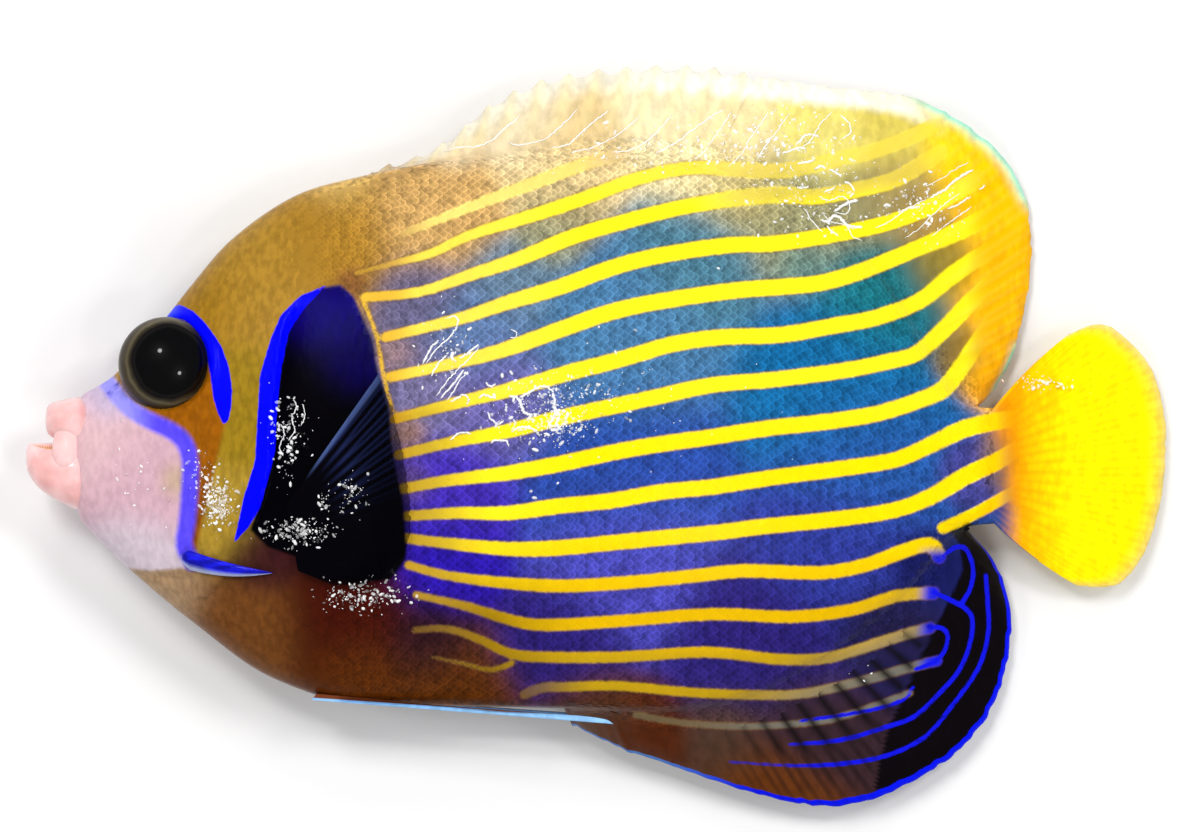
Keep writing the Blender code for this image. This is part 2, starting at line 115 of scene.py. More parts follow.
# The markings that every piece of skin, scale and fin shares, as routes and outlines in pixels
# of the photographed view. They are worked out once on a fine grid in the part's plane.
PIXELS_PER_MM = 7.85
CENTRING = (-0.25, 0.19)
PIXEL_MIDDLE = (596.6, 434)
FAR_OUTSIDE = -1.6
GRID_STEP = 0.15
GRID_X, GRID_Y = np.arange(-76.0, 77.0, GRID_STEP), np.arange(-51.0, 51.0, GRID_STEP)
YELLOW_LINES = (
    (0.56, (400, 235), (440, 219), (483, 202), (534, 183), (585, 164), (615, 156)),
    (0.70, (356, 273), (394, 263), (432, 253), (470, 235), (534, 215), (585, 198), (636, 179),
     (687, 168), (730, 169), (780, 171), (820, 163), (845, 156), (870, 151), (905, 138), (940, 121)),
    (0.80, (366, 297), (419, 292), (470, 275), (521, 258), (572, 237), (623, 222), (674, 209),
     (730, 199), (780, 195), (812, 197), (845, 192), (890, 181), (920, 165), (944, 149)),
    (0.84, (386, 337), (458, 319), (509, 302), (560, 287), (611, 268), (662, 255), (730, 245),
     (769, 244), (820, 237), (875, 226), (920, 211), (955, 192), (984, 175)),
    (0.86, (390, 377), (441, 366), (500, 351), (559, 330), (611, 312), (662, 301), (730, 291),
     (780, 287), (820, 283), (862, 271), (920, 247), (965, 228), (990, 215), (1016, 201)),
    (0.84, (394, 419), (456, 403), (520, 387), (571, 372), (622, 359), (673, 344), (724, 337),
     (780, 335), (838, 325), (875, 318), (920, 301), (955, 274), (995, 248), (1020, 233)),
    (0.82, (398, 455), (456, 441), (508, 431), (559, 418), (610, 407), (661, 396), (712, 385),
     (780, 379), (847, 370), (895, 360), (919, 352), (955, 320), (980, 295), (1002, 277), (1020, 259)),
    (0.84, (402, 489), (444, 481), (508, 473), (559, 464), (610, 453), (661, 444), (712, 437),
     (769, 428), (825, 422), (880, 413), (925, 398), (945, 388), (962, 369), (978, 347),
     (992, 327), (1006, 307)),
    (0.82, (407, 516), (456, 513), (508, 513), (559, 506), (610, 501), (661, 492), (712, 487),
     (769, 478), (838, 469), (895, 460), (930, 445), (964, 429), (998, 421), (1020, 419)),
    (0.82, (405, 538), (444, 543), (508, 549), (559, 548), (610, 543), (661, 538), (712, 533),
     (769, 526), (838, 519), (895, 510), (930, 497), (964, 477), (998, 461), (1024, 447)),
    (0.50, (943, 528), (975, 514), (1006, 497), (1024, 489)),
    (0.74, (408, 565), (444, 575), (495, 582), (559, 586), (622, 583), (686, 577), (744, 571),
     (820, 573), (866, 565), (907, 550), (930, 545), (940, 557)),
    (0.70, (416, 595), (465, 606), (514, 621), (548, 625), (620, 621), (713, 614), (790, 617),
     (851, 610), (897, 596), (935, 594)),
    (0.62, (415, 630), (448, 629), (481, 640), (508, 653), (540, 657), (620, 657), (707, 652),
     (774, 659), (820, 659), (851, 652), (897, 638), (932, 629)),
    (0.38, (432, 657), (465, 664), (491, 670), (512, 663)),
    (0.52, (524, 695), (541, 688), (564, 687), (621, 686), (698, 693), (790, 695), (835, 688),
     (866, 681), (912, 669), (940, 663)),
    (0.34, (636, 715), (682, 723), (744, 727), (805, 724), (835, 720), (881, 706), (912, 695)),
    (0.45, (362, 297), (371, 320), (378, 341), (382, 367), (387, 390), (393, 412)),
)
FIN_BLUE_LINES = (
    (0.30, (935, 593), (960, 605), (973, 614), (977, 626), (973, 651), (962, 675), (943, 696),
     (918, 719), (890, 729), (842, 742), (790, 746)),
    (0.30, (945, 557), (958, 548), (970, 551), (977, 570), (975, 588), (966, 604)),
    (0.30, (991, 578), (993, 605), (994, 635), (987, 664), (975, 685), (956, 710), (930, 740),
     (901, 755), (882, 761), (850, 766), (800, 768), (730, 764)),
    (0.28, (930, 628), (945, 630), (951, 639), (947, 654), (937, 664), (918, 671)),
    (0.26, (915, 690), (905, 702), (880, 710), (853, 715), (800, 722)),
)
FIRST_BLUE = (
    (154, 317), (167, 308), (180, 305), (193, 311), (205, 323), (215, 336), (223, 350), (229, 368),
    (232, 390), (231, 408), (228, 422), (223, 424), (217, 411), (213, 396), (210, 372), (206, 356),
    (200, 340), (193, 328), (184, 320), (170, 317),
)
SECOND_BLUE = (
    (327, 285), (300, 296), (281, 315), (271, 338), (260, 375), (258, 409), (255, 462),
    (244, 496), (234, 543), (248, 528), (260, 508), (269, 476), (275, 451), (277, 409),
    (281, 370), (289, 331), (306, 306),
)
DARK_MASK = (
    (322, 287), (341, 285), (354, 297), (364, 320), (373, 340), (377, 366), (383, 389),
    (389, 411), (391, 439), (396, 471), (403, 501), (405, 530), (408, 560), (395, 585),
    (350, 590), (318, 575), (300, 560), (268, 548), (250, 530), (262, 495), (270, 460),
    (272, 409), (277, 370), (284, 331), (300, 302),
)
PALE_FACE = (
    (0, 380), (113, 376), (129, 402), (150, 415), (171, 427), (184, 440), (189, 457),
    (189, 507), (184, 545), (188, 568), (150, 571), (122, 568), (60, 640), (0, 640),
)
ORANGE_PATCH = (
    (144, 404), (166, 408), (186, 398), (203, 380), (211, 352), (224, 380), (228, 412), (222, 440),
    (212, 480), (203, 520), (196, 552), (186, 552), (192, 500), (194, 465), (188, 438), (172, 426),
    (152, 416),
)
DARK_FIN_END = (
    (946, 526), (962, 545), (966, 571), (947, 611), (926, 651), (909, 689), (890, 731),
    (880, 774), (876, 830), (1060, 830), (1030, 640), (1016, 596), (1004, 562), (990, 536),
    (968, 520),
)
VIOLET_BAND = (
    (1.0, (108, 384), (129, 408), (150, 421), (171, 431), (185, 444), (190, 465), (189, 495),
     (187, 520), (184, 545), (192, 562)),
)
# Soft areas of ground colour: a name, the middle and reach in pixels, and the colour as seen.
BODY_TONES = (
    ("nape", 250, 250, 60, (158, 120, 42)), ("forehead", 190, 290, 36, (146, 106, 20)),
    # The tone for the nape's edge on the next line is a painted highlight: the back's edge there is painted
    # paler for the strong light along it.
    ("mask crest", 350, 281, 11, (112, 66, 40)), ("painted nape highlight", 335, 174, 26, (206, 172, 100)),
    ("shoulder", 330, 232, 46, (154, 112, 34)), ("gold bar", 238, 400, 34, (142, 114, 24)),
    ("gold bar foot", 214, 520, 30, (160, 130, 44)), ("throat", 160, 596, 30, (160, 130, 98)),
    ("chest", 240, 640, 44, (108, 64, 26)), ("breast", 345, 625, 46, (60, 12, 4)),
    ("lower breast", 350, 680, 34, (90, 44, 6)), ("gill skin", 262, 556, 26, (52, 18, 24)),
    ("belly", 450, 700, 46, (88, 44, 8)), ("belly front", 430, 640, 30, (36, 14, 26)),
    ("under belly", 590, 714, 30, (82, 44, 12)), ("upper back", 430, 205, 44, (184, 146, 88)),
    ("back", 560, 156, 40, (214, 188, 134)), ("back rear", 710, 150, 40, (232, 212, 156)),
    ("dorsal base", 830, 136, 30, (222, 208, 112)), ("back dusk", 560, 208, 26, (150, 136, 96)),
    ("back dusk rear", 740, 190, 30, (178, 162, 100)), ("dorsal front", 520, 118, 30, (222, 208, 176)),
    ("dorsal root", 452, 144, 18, (232, 212, 172)), ("dorsal top", 680, 98, 36, (232, 218, 178)),
    ("dorsal corner", 890, 128, 28, (206, 188, 84)),
    ("dorsal high corner", 960, 146, 24, (236, 206, 22)), ("dorsal rear", 990, 190, 38, (246, 190, 0)),
    ("dorsal edge", 1010, 280, 36, (252, 184, 0)), ("dorsal foot", 996, 356, 24, (250, 180, 0)),
    ("front upper", 420, 300, 30, (88, 84, 116)), ("front middle", 424, 390, 36, (104, 98, 136)),
    ("gill glow", 397, 356, 15, (130, 104, 104)), ("gill glow low", 409, 430, 13, (140, 104, 84)),
    ("gill dusk", 414, 484, 15, (90, 68, 112)), ("high flank", 552, 234, 22, (134, 136, 108)),
    ("teal front", 512, 286, 30, (88, 112, 132)), ("high flank rear", 790, 222, 40, (142, 138, 100)),
    ("upper flank", 480, 330, 36, (80, 106, 148)), ("teal", 700, 262, 44, (68, 112, 132)),
    ("teal rear", 880, 300, 44, (24, 104, 112)), ("teal high", 802, 262, 20, (84, 124, 122)),
    ("ochre mid", 930, 222, 22, (164, 130, 66)), ("ochre rear", 945, 262, 26, (136, 118, 40)),
    ("ochre high", 900, 196, 32, (156, 136, 80)), ("ochre foot", 962, 352, 20, (126, 104, 50)),
    ("olive rear", 862, 208, 26, (142, 136, 96)), ("blue", 620, 340, 60, (66, 112, 152)),
    ("blue rear", 840, 380, 60, (16, 94, 146)), ("blue front", 500, 400, 40, (96, 90, 152)),
    ("indigo front", 450, 495, 40, (58, 38, 158)), ("indigo", 620, 470, 60, (34, 66, 148)),
    ("indigo rear", 860, 455, 50, (34, 78, 150)), ("violet front", 450, 560, 34, (36, 18, 150)),
    ("violet", 620, 560, 50, (68, 66, 166)), ("violet rear", 830, 545, 50, (42, 52, 140)),
    ("deep violet", 560, 640, 40, (38, 26, 104)), ("deep violet rear", 760, 640, 50, (40, 30, 108)),
    ("stalk", 968, 470, 18, (60, 60, 130)), ("stalk grey", 996, 462, 14, (122, 98, 92)),
    ("stalk end", 1020, 455, 16, (226, 140, 6)), ("anal front", 640, 745, 32, (80, 34, 8)),
    ("anal low", 760, 785, 34, (98, 50, 14)), ("anal grey", 730, 740, 30, (74, 52, 40)),
    ("anal middle", 800, 722, 34, (52, 34, 40)), ("anal high", 880, 630, 28, (30, 26, 66)),
    ("anal inner", 920, 565, 20, (20, 24, 84)),
)
FACE_TONES = (
    ("lip side", 88, 440, 36, (212, 176, 182)), ("cheek", 140, 480, 40, (200, 162, 176)),
    ("cheek edge", 174, 480, 12, (182, 158, 120)), ("chin", 130, 552, 28, (204, 190, 202)),
    ("snout", 106, 398, 18, (186, 172, 204)),
)
MASK_TONES = (
    ("mask top", 338, 303, 32, (10, 0, 96)), ("mask right", 358, 356, 26, (6, 0, 70)),
    ("mask middle", 310, 430, 60, (2, 1, 4)), ("mask foot", 350, 560, 40, (3, 2, 6)),
)
WET_PLACES = (
    ("front flank", 540, 412, 46, 1.0), ("second row", 440, 345, 34, 0.8),
    ("upper rear", 800, 190, 66, 1.0), ("rear rays", 930, 200, 50, 0.8),
    ("dorsal front", 570, 130, 50, 0.9), ("dorsal middle", 680, 120, 70, 1.0),
    ("gill foot", 226, 505, 26, 1.0), ("mask front", 290, 450, 26, 0.9),
    ("mask lower", 306, 530, 30, 1.0), ("mask end", 372, 590, 34, 1.0),
    ("mask side", 360, 492, 22, 0.9), ("anal fold", 830, 705, 40, 0.6), ("cheek", 150, 470, 40, 0.5),
    ("under eye", 214, 420, 24, 0.6),
)


def to_mm(points):
    """Pixels of the photographed view as millimetres in the part's plane."""
    return (np.asarray(points, float) - PIXEL_MIDDLE) / (PIXELS_PER_MM, -PIXELS_PER_MM)


def ease(t):
    """Rises smoothly from 0 to 1."""
    t = np.clip(t, 0.0, 1.0)
    return t * t * (3 - 2 * t)


def rounded(points, steps=3):
    """The same route with more points, on a smooth curve through its own."""
    p = np.vstack([points[0], points, points[-1]])
    out = []
    for i in range(1, len(p) - 2):
        for t in np.arange(steps) / steps:
            out.append(
                p[i] + (p[i + 1] - p[i - 1]) * t / 2
                + (2 * p[i - 1] - 5 * p[i] + 4 * p[i + 1] - p[i + 2]) * t * t / 2
                + (3 * p[i] - p[i - 1] - 3 * p[i + 1] + p[i + 2]) * t**3 / 2
            )
    return np.array(out + [p[-2]])


def near_route(route, reach=3.0):
    """Distance in millimetres from the grid's points to a route, up to a reach."""
    best = np.full((len(GRID_X), len(GRID_Y)), reach)
    for a, b in zip(route, route[1:]):
        low, high = np.minimum(a, b) - reach, np.maximum(a, b) + reach
        i0, i1 = np.searchsorted(GRID_X, [low[0], high[0]])
        j0, j1 = np.searchsorted(GRID_Y, [low[1], high[1]])
        dx, dy = GRID_X[i0:i1, None] - a[0], GRID_Y[None, j0:j1] - a[1]
        run = b - a
        t = np.clip((dx * run[0] + dy * run[1]) / max(run @ run, 1e-9), 0, 1)
        off = np.hypot(dx - t * run[0], dy - t * run[1])
        best[i0:i1, j0:j1] = np.minimum(best[i0:i1, j0:j1], off)
    return best


def near_lines(lines):
    """Depth inside the nearest of some lines of their own half widths, negative outside."""
    deepest = np.full((len(GRID_X), len(GRID_Y)), FAR_OUTSIDE)
    for half, *points in lines:
        away = near_route(rounded(to_mm(points)), half - FAR_OUTSIDE)
        np.maximum(deepest, half - away, out=deepest)
    return deepest


def inside(points):
    """Depth inside an outline, negative outside it."""
    outline = to_mm(points)
    x, y = GRID_X[:, None], GRID_Y[None, :]
    within = np.zeros((len(GRID_X), len(GRID_Y)), bool)
    for (ax, ay), (bx, by) in zip(outline, np.roll(outline, -1, axis=0)):
        if ay != by:
            cross = ax + (y - ay) * (bx - ax) / (by - ay)
            within ^= ((ay > y) != (by > y)) & (x < cross)
    away = near_route(np.vstack([outline, outline[:1]]))
    return np.where(within, away, -away)


DEPTHS = {
    "stripe": near_lines(YELLOW_LINES), "fin_blue": near_lines(FIN_BLUE_LINES),
    "blue": np.maximum(inside(FIRST_BLUE), inside(SECOND_BLUE)), "mask": inside(DARK_MASK),
    "band": near_lines(VIOLET_BAND), "face": inside(PALE_FACE), "orange": inside(ORANGE_PATCH),
    "dark_end": inside(DARK_FIN_END),
}


def between_points(grid, corner, step, x, y):
    """A grid's values at places between its points."""
    i = np.clip((x - corner[0]) / step, 0, grid.shape[0] - 1.001)
    j = np.clip((y - corner[1]) / step, 0, grid.shape[1] - 1.001)
    i0, j0 = i.astype(int), j.astype(int)
    p, q = i - i0, j - j0
    return (
        grid[i0, j0] * (1 - p) * (1 - q) + grid[i0 + 1, j0] * p * (1 - q)
        + grid[i0, j0 + 1] * (1 - p) * q + grid[i0 + 1, j0 + 1] * p * q
    )


def depth(marking, at):
    """Depth inside a marking at places in the part's plane."""
    return between_points(DEPTHS[marking], (GRID_X[0], GRID_Y[0]), GRID_STEP, at[:, 0], at[:, 1])


def as_light(colour):
    """A colour as seen, 0 to 255, as the amounts of light that shaders work with."""
    c = np.asarray(colour, float) / 255
    return np.where(c <= 0.04045, c / 12.92, ((c + 0.055) / 1.055) ** 2.4)


def layered(colour, *layers):
    """A colour with others laid over it in turn, each by an amount of its own at every place."""
    colour = as_light(colour) if isinstance(colour, tuple) else colour
    for over, amount in layers:
        over = as_light(over) if isinstance(over, tuple) else over
        colour = colour + (over - colour) * np.clip(amount, 0, 1)[:, None]
    return colour


def soft_tones(at, tones):
    """Colours that melt into each other between the middles of soft areas."""
    weights, total = np.full(len(at), 1e-9), np.zeros((len(at), 3))
    for _, x, y, reach, colour in tones:
        away = np.sum((at - to_mm([(x, y)])[0]) ** 2, axis=1) / (reach / PIXELS_PER_MM) ** 2
        near = np.exp(-away) + 1e-4 / (1 + away) ** 2
        weights += near
        total += near[:, None] * as_light(colour)
    return total / weights[:, None]


def store(mesh, name, values):
    """Keeps values on a mesh's vertices: one number for all, one for each, or colours."""
    if isinstance(values, float):
        values = np.full(len(mesh.vertices), values)
    kind, key = ("FLOAT", "value") if values.ndim == 1 else ("FLOAT_COLOR", "color")
    if values.ndim == 2:
        values = np.column_stack([values, np.ones(len(values))])
    held = mesh.attributes.get(name) or mesh.attributes.new(name, kind, "POINT")
    held.data.foreach_set(key, values.astype(np.float32).ravel())


def as_seen(at, z):
    """Places as the lens shows them: larger from its axis the nearer the skin is to it."""
    axis = np.array(LENS_AXIS) - np.array(CENTRING)
    return axis + (at - axis) * (EYE_ABOVE / (EYE_ABOVE - np.abs(z - MIDDLE)))[:, None]


def places(mesh):
    """The mesh's vertices as seen in the part's plane, in millimetres and as pixel columns."""
    co = np.empty(len(mesh.vertices) * 3, np.float32)
    mesh.vertices.foreach_get("co", co)
    co = co.reshape(-1, 3).astype(float) / MM
    at = as_seen(co[:, :2] - np.array(CENTRING), co[:, 2])
    return at, (at * (PIXELS_PER_MM, -PIXELS_PER_MM) + PIXEL_MIDDLE).T


def on_tail(at):
    """1 on the tail fin and its root, falling to 0 over the tail stalk."""
    past = at[:, 0] - 51.5
    between_edges = (at[:, 1] < 3.6 + 1.08 * past) & (at[:, 1] > -12.0 - 0.82 * past)
    return ease((at[:, 0] - 51.2 + 1.8 * ease((at[:, 1] - 0.4) / 1.2)) / 3.6) * between_edges


def paint_ground(mesh):
    """Stores the colour of the skin itself: body, orange patch, face, dark fin end and tail,
    with a painted highlight laid along the nape's edge.
    """
    at, (_, y) = places(mesh)
    orange = ease((depth("orange", at) + 0.3) / 0.8)
    tail = layered(
        (236, 142, 0), ((252, 186, 0), ease((at[:, 0] - 51.0) / 6)),
        ((255, 238, 0), ease((at[:, 0] - 54.0) / 9)),
    )
    ground = layered(
        soft_tones(at, BODY_TONES), ((8, 4, 8), ease((depth("dark_end", at) + 0.15) / 0.3)),
        ((146, 84, 6), orange), ((112, 52, 10), orange * ease((y - 440) / 80) * 0.6),
        (soft_tones(at, FACE_TONES), ease((depth("face", at) + 0.2) / 0.5)), (tail, on_tail(at)),
    )
    store(mesh, "ground", ground)
    return ground


def paint_stripes(mesh, ground):
    """Stores the stripes: lemon above, deeper gold below, thin and faded where they begin,
    worn over the anal fin, and melting into the ground toward the margins of the fins."""
    at, (x, y) = places(mesh)
    stripe = depth("stripe", at)
    stripe += 0.15 - 0.36 * ease((560 - x) / 160) - 0.10 * ease((y - 540) / 60)
    stripe -= 0.22 * ease((430 - x) / 70) * ease((290 - y) / 14)
    store(mesh, "stripe", stripe)
    begun = ease((430 - x) / 60) * ease((290 - y) / 14)
    begun = np.maximum(begun, ease((480 - x) / 60) * ease((y - 606) / 10))
    begun = np.maximum(begun, ease((600 - x) / 70) * ease((y - 670) / 10))
    first_line = ease((250 - 0.37 * (x - 400) - y) / 12) * ease((740 - x) / 60)
    soft_line = ease((x - 690) / 60) * ease((226 - 0.15 * (x - 700) - y) / 22)
    gold = layered(
        (255, 232, 28),
        ((254, 222, 2), ease((y - 380) / 80) * ease((x - 480) / 120)),
        ((226, 180, 2), ease((y - 500) / 120)),
        ((196, 158, 20), ease((y - 638) / 24)),
        ((112, 94, 66), ease((y - 694) / 24)),
        ((116, 84, 14), ease((y - 556) / 70) * ease((600 - x) / 150) * 0.9),
        ((112, 108, 98), ease((y - 572) / 16) * ease((x - 860 + 1.6 * (y - 600)) / 150)),
        ((236, 202, 92), ease((600 - x) / 160) * ease((420 - y) / 40) * 0.6),
        ((172, 134, 46), ease((500 - x) / 80) * ease((y - 380) / 40) * 0.8),
        ((206, 144, 24), ease((424 - x) / 36) * 0.6),
        ((240, 214, 72), ease((214 - y) / 50) * 0.75),
        (ground, begun * 0.6),
        ((255, 196, 0), ease((x - 965) / 35) * ease((y - 380) / 20)),
        (ground, ease((x - 965) / 40) * ease((400 - y) / 20)),
        (ground, ease((x - 996) / 24)),
        ((244, 212, 112), first_line),
        (ground, first_line * np.maximum(ease((x - 570) / 50), ease((440 - x) / 50))),
        (ground, soft_line * 0.45),
        ((30, 34, 215), ease((x - 915) / 18) * ease((y - 545) / 12)),
    )
    store(mesh, "gold", gold)
    melting = np.maximum.reduce([ease((x - 915) / 50), first_line, soft_line])
    store(mesh, "fringe", layered(ground, ((112, 76, 44), 0.6 + 0 * x), (gold, melting)))


def paint(mesh, fin=False):
    """Stores the ground colour, the depth inside each kind of marking and its tone."""
    at, (x, y) = places(mesh)
    paint_stripes(mesh, paint_ground(mesh))
    on_fin = depth("fin_blue", at) if fin else np.full(len(at), FAR_OUTSIDE)
    store(mesh, "blue", np.maximum(depth("blue", at), on_fin - 0.14 * ease((850 - x) / 90)))
    store(mesh, "blue_tone", layered(
        (64, 50, 84), ((16, 20, 222), ease((x - 640) / 200)), ((0, 2, 250), ease((400 - x) / 20)),
        ((10, 70, 240), ease((182 - x) / 20) * ease((330 - y) / 20)),
    ))
    store(mesh, "mask", depth("mask", at) - 0.8 * ease((y - 540) / 50))
    store(mesh, "mask_tone", soft_tones(at, MASK_TONES))
    store(mesh, "band", depth("band", at))
    store(mesh, "band_tone", layered((86, 70, 238), ((148, 144, 240), ease((160 - x) / 40))))
    store(mesh, "even", np.maximum(ease((depth("face", at) + 0.2) / 0.5), 0.8 * ease((400 - x) / 120)))
    wet = np.zeros(len(at))
    for _, wet_x, wet_y, reach, amount in WET_PLACES:
        away = ((x - wet_x) ** 2 + (y - wet_y) ** 2) / reach**2
        np.maximum(wet, amount * np.exp(-away), out=wet)
    store(mesh, "wet", wet)


def fill(tree, made, inputs):
    """Sets a node's inputs to numbers, or joins them to the outputs of other nodes."""
    for key, part in inputs.items():
        if isinstance(part, bpy.types.NodeSocket):
            tree.links.new(part, made.inputs[key])
        else:
            made.inputs[key].default_value = part


def node(tree, kind, inputs=None, **settings):
    made = tree.nodes.new(kind)
    for key, setting in settings.items():
        setattr(made, key, setting)
    fill(tree, made, inputs or {})
    return made


def value(tree, operation, first, second):
    """One step of arithmetic, between outputs of other nodes or plain numbers."""
    return node(tree, "ShaderNodeMath", {0: first, 1: second}, operation=operation).outputs[0]


def stored(tree, name, output="Fac"):
    return node(tree, "ShaderNodeAttribute", attribute_name=name).outputs[output]


def noise_on(tree, vector, scale, detail=2.0):
    made = node(tree, "ShaderNodeTexNoise", {"Scale": scale, "Detail": detail, "Vector": vector})
    return made.outputs["Fac"]


def between(tree, source, low, high, to_low=0.0, to_high=1.0):
    """A value brought smoothly from one range to another."""
    ends = {"From Min": low, "From Max": high, "To Min": to_low, "To Max": to_high, "Value": source}
    return node(tree, "ShaderNodeMapRange", ends, interpolation_type="SMOOTHSTEP").outputs["Result"]


def mixed(tree, amount, first, second):
    """Two colours mixed, each another node's output or a colour as seen, 0 to 255."""
    first, second = ((*as_light(c), 1.0) if isinstance(c, tuple) else c for c in (first, second))
    made = node(tree, "ShaderNodeMix", data_type="RGBA")
    fill(tree, made, {"Factor": amount, "A": first, "B": second})
    return made.outputs["Result"]


def node_group(name, sockets):
    """A group with its sockets, its ends, and the place on the piece that it is worked out for."""
    tree = bpy.data.node_groups.new(name, "ShaderNodeTree")
    for socket, way, kind in sockets:
        tree.interface.new_socket(socket, in_out=way, socket_type=kind)
    place = node(tree, "ShaderNodeTexCoord").outputs["Object"]
    return tree, node(tree, "NodeGroupInput"), node(tree, "NodeGroupOutput"), place


def markings_group():
    """Lays the markings over the ground colour, with slightly ragged edges."""
    tree, start, end, place = node_group("fish markings", (
        ("Raggedness", "INPUT", "NodeSocketFloat"), ("Color", "OUTPUT", "NodeSocketColor"),
        ("Calm", "OUTPUT", "NodeSocketFloat"),
    ))
    shift = value(tree, "SUBTRACT", noise_on(tree, place, 1300.0, 3.0), 0.5)
    wobble = value(tree, "MULTIPLY", shift, start.outputs["Raggedness"])
    colour = stored(tree, "ground", "Color")
    for marking, tone, low, high in (
        ("stripe", "fringe", -0.36, 0.06), ("stripe", "gold", -0.20, 0.20),
        ("mask", "mask_tone", -0.30, 0.30), ("band", "band_tone", -0.50, 0.40),
        ("blue", "blue_tone", -0.10, 0.10),
    ):
        moved = value(tree, "ADD", stored(tree, marking), wobble)
        colour = mixed(tree, between(tree, moved, low, high), colour, stored(tree, tone, "Color"))
    on_gold = between(tree, stored(tree, "stripe"), -0.2, 0.2)
    on_blue = between(tree, stored(tree, "blue"), -0.1, 0.1)
    calm = value(tree, "MAXIMUM", value(tree, "MAXIMUM", on_gold, on_blue), stored(tree, "even"))
    fill(tree, end, {"Color": colour, "Calm": calm})
    return tree


def film_group():
    """Water on the skin: how smooth it lies in its wet places, and its small waves."""
    tree, start, end, place = node_group("water film", (
        ("Wave Scale", "INPUT", "NodeSocketFloat"), ("Roughness", "OUTPUT", "NodeSocketFloat"),
        ("Height", "OUTPUT", "NodeSocketFloat"),
    ))
    patches = noise_on(tree, place, 330.0, 3.0)
    wet = between(tree, value(tree, "MULTIPLY", stored(tree, "wet"), patches), 0.22, 0.36)
    waves = noise_on(tree, place, start.outputs["Wave Scale"])
    fill(tree, end, {
        "Height": value(tree, "MULTIPLY", wet, waves),
        "Roughness": between(tree, wet, 0.0, 1.0, 0.30, 0.10),
    })
    return tree


MARKINGS, WATER_FILM = markings_group(), film_group()
EDGE_RAGGED, WAVE_SCALE, WAVE_RISE, CALMING = 0.22, 1300.0, 5.0, 0.85


def wet_skin(name, coat=0.0, coat_roughness=0.12, roughness=0.3, mottle=0.22, mottle_scale=900.0,
             bump=0.00004, stretch=(1.0, 0.5, 1.0), specular=0.22, tone=None, shade=None, film=True):
    """Wet fish skin: markings, fine upright mottling and a small relief under water."""
    made = bpy.data.materials.new(name)
    made.use_nodes = True
    tree = made.node_tree
    place = node(tree, "ShaderNodeTexCoord").outputs["Object"]
    drawn_out = node(tree, "ShaderNodeMapping", {"Scale": stretch, "Vector": place}).outputs[0]
    speck = noise_on(tree, drawn_out, mottle_scale, 3.0)
    level = between(tree, speck, 0.3, 0.7, 1 - mottle, 1 + mottle)
    if shade:
        level = value(tree, "MULTIPLY", level, shade(tree))
    if tone:
        colour = tone(tree, place)
    else:
        marks = node(tree, "ShaderNodeGroup", node_tree=MARKINGS)
        fill(tree, marks, {"Raggedness": EDGE_RAGGED})
        colour = marks.outputs["Color"]
        uneven = value(tree, "SUBTRACT", 1.0, value(tree, "MULTIPLY", marks.outputs["Calm"], CALMING))
        off = value(tree, "MULTIPLY", value(tree, "SUBTRACT", level, 1.0), uneven)
        level = value(tree, "ADD", off, 1.0)
    bright = node(tree, "ShaderNodeHueSaturation", {"Value": level, "Color": colour})
    height = speck
    shader = tree.nodes["Principled BSDF"]
    fill(tree, shader, {
        "Base Color": bright.outputs["Color"], "Roughness": roughness, "Specular IOR Level": specular,
        "Coat Weight": coat, "Coat Roughness": coat_roughness,
    })
    if film:
        water_film = node(tree, "ShaderNodeGroup", node_tree=WATER_FILM)
        fill(tree, water_film, {"Wave Scale": WAVE_SCALE})
        fill(tree, shader, {"Roughness": water_film.outputs["Roughness"]})
        waves = value(tree, "MULTIPLY", water_film.outputs["Height"], WAVE_RISE)
        height = value(tree, "ADD", speck, waves)
    rise = node(tree, "ShaderNodeBump", {"Distance": bump, "Height": height})
    fill(tree, shader, {"Normal": rise.outputs["Normal"]})
    return made


# One skin covers head, gill covers, trunk and tail stalk without a seam, over flesh. It has
# the raised edges of the gill covers, rims round the eyes, nostrils and small folds.
BACK_LINE = (
    (-66.2, 4.7), (-61.6, 7.4), (-56.0, 13.4), (-51.9, 18.6), (-46.7, 24.6), (-38.7, 30.2),
    (-31.0, 32.6), (-19.0, 34.8), (3.0, 35.8), (14.0, 34.4), (24.6, 30.2), (32.3, 24.6),
    (38.6, 17.0), (43.5, 8.4), (46.4, 4.2), (51.4, 3.2),
)
BELLY_LINE = (
    (-66.2, -10.6), (-61.9, -15.0), (-54.9, -21.2), (-50.6, -24.6), (-44.3, -29.4),
    (-39.6, -31.8), (-32.8, -34.0), (-25.0, -34.5), (-5.0, -34.9), (10.0, -35.2),
    (20.8, -33.0), (32.3, -26.2), (39.9, -19.6), (44.8, -13.6), (46.8, -12.0), (51.4, -11.4),
)
HALF_THICKNESS = (
    (-66.2, 4.4), (-61.0, 5.8), (-55.0, 7.2), (-48.0, 9.1), (-41.0, 10.2), (-30.0, 11.0),
    (-10.0, 10.9), (6.0, 10.1), (20.0, 8.2), (32.0, 5.9), (42.0, 4.0), (51.4, 2.9),
)
GILL_EDGE = (
    (-0.9, -52.0), (-0.74, -48.6), (-0.55, -46.4), (-0.42, -44.8), (-0.33, -43.1),
    (-0.2, -41.8), (-0.08, -41.1), (0.09, -40.8), (0.27, -40.2), (0.45, -39.2), (0.58, -37.4),
)
CHEEK_EDGE = (
    (-0.62, -49.6), (-0.52, -51.6), (-0.3, -51.4), (-0.1, -51.0), (0.1, -49.8), (0.22, -47.8),
    (0.3, -44.6),
)
FOLDS = (
    (-63.0, -1.5, -64.2, -7.6, 0.30, 0.10), (-60.2, -17.9, -51.8, -18.3, 0.35, 0.35),
    (-65.1, 3.6, -65.9, -6.4, 0.35, 0.16), (-59.0, 1.6, -53.0, -2.6, 0.8, -0.08),
)
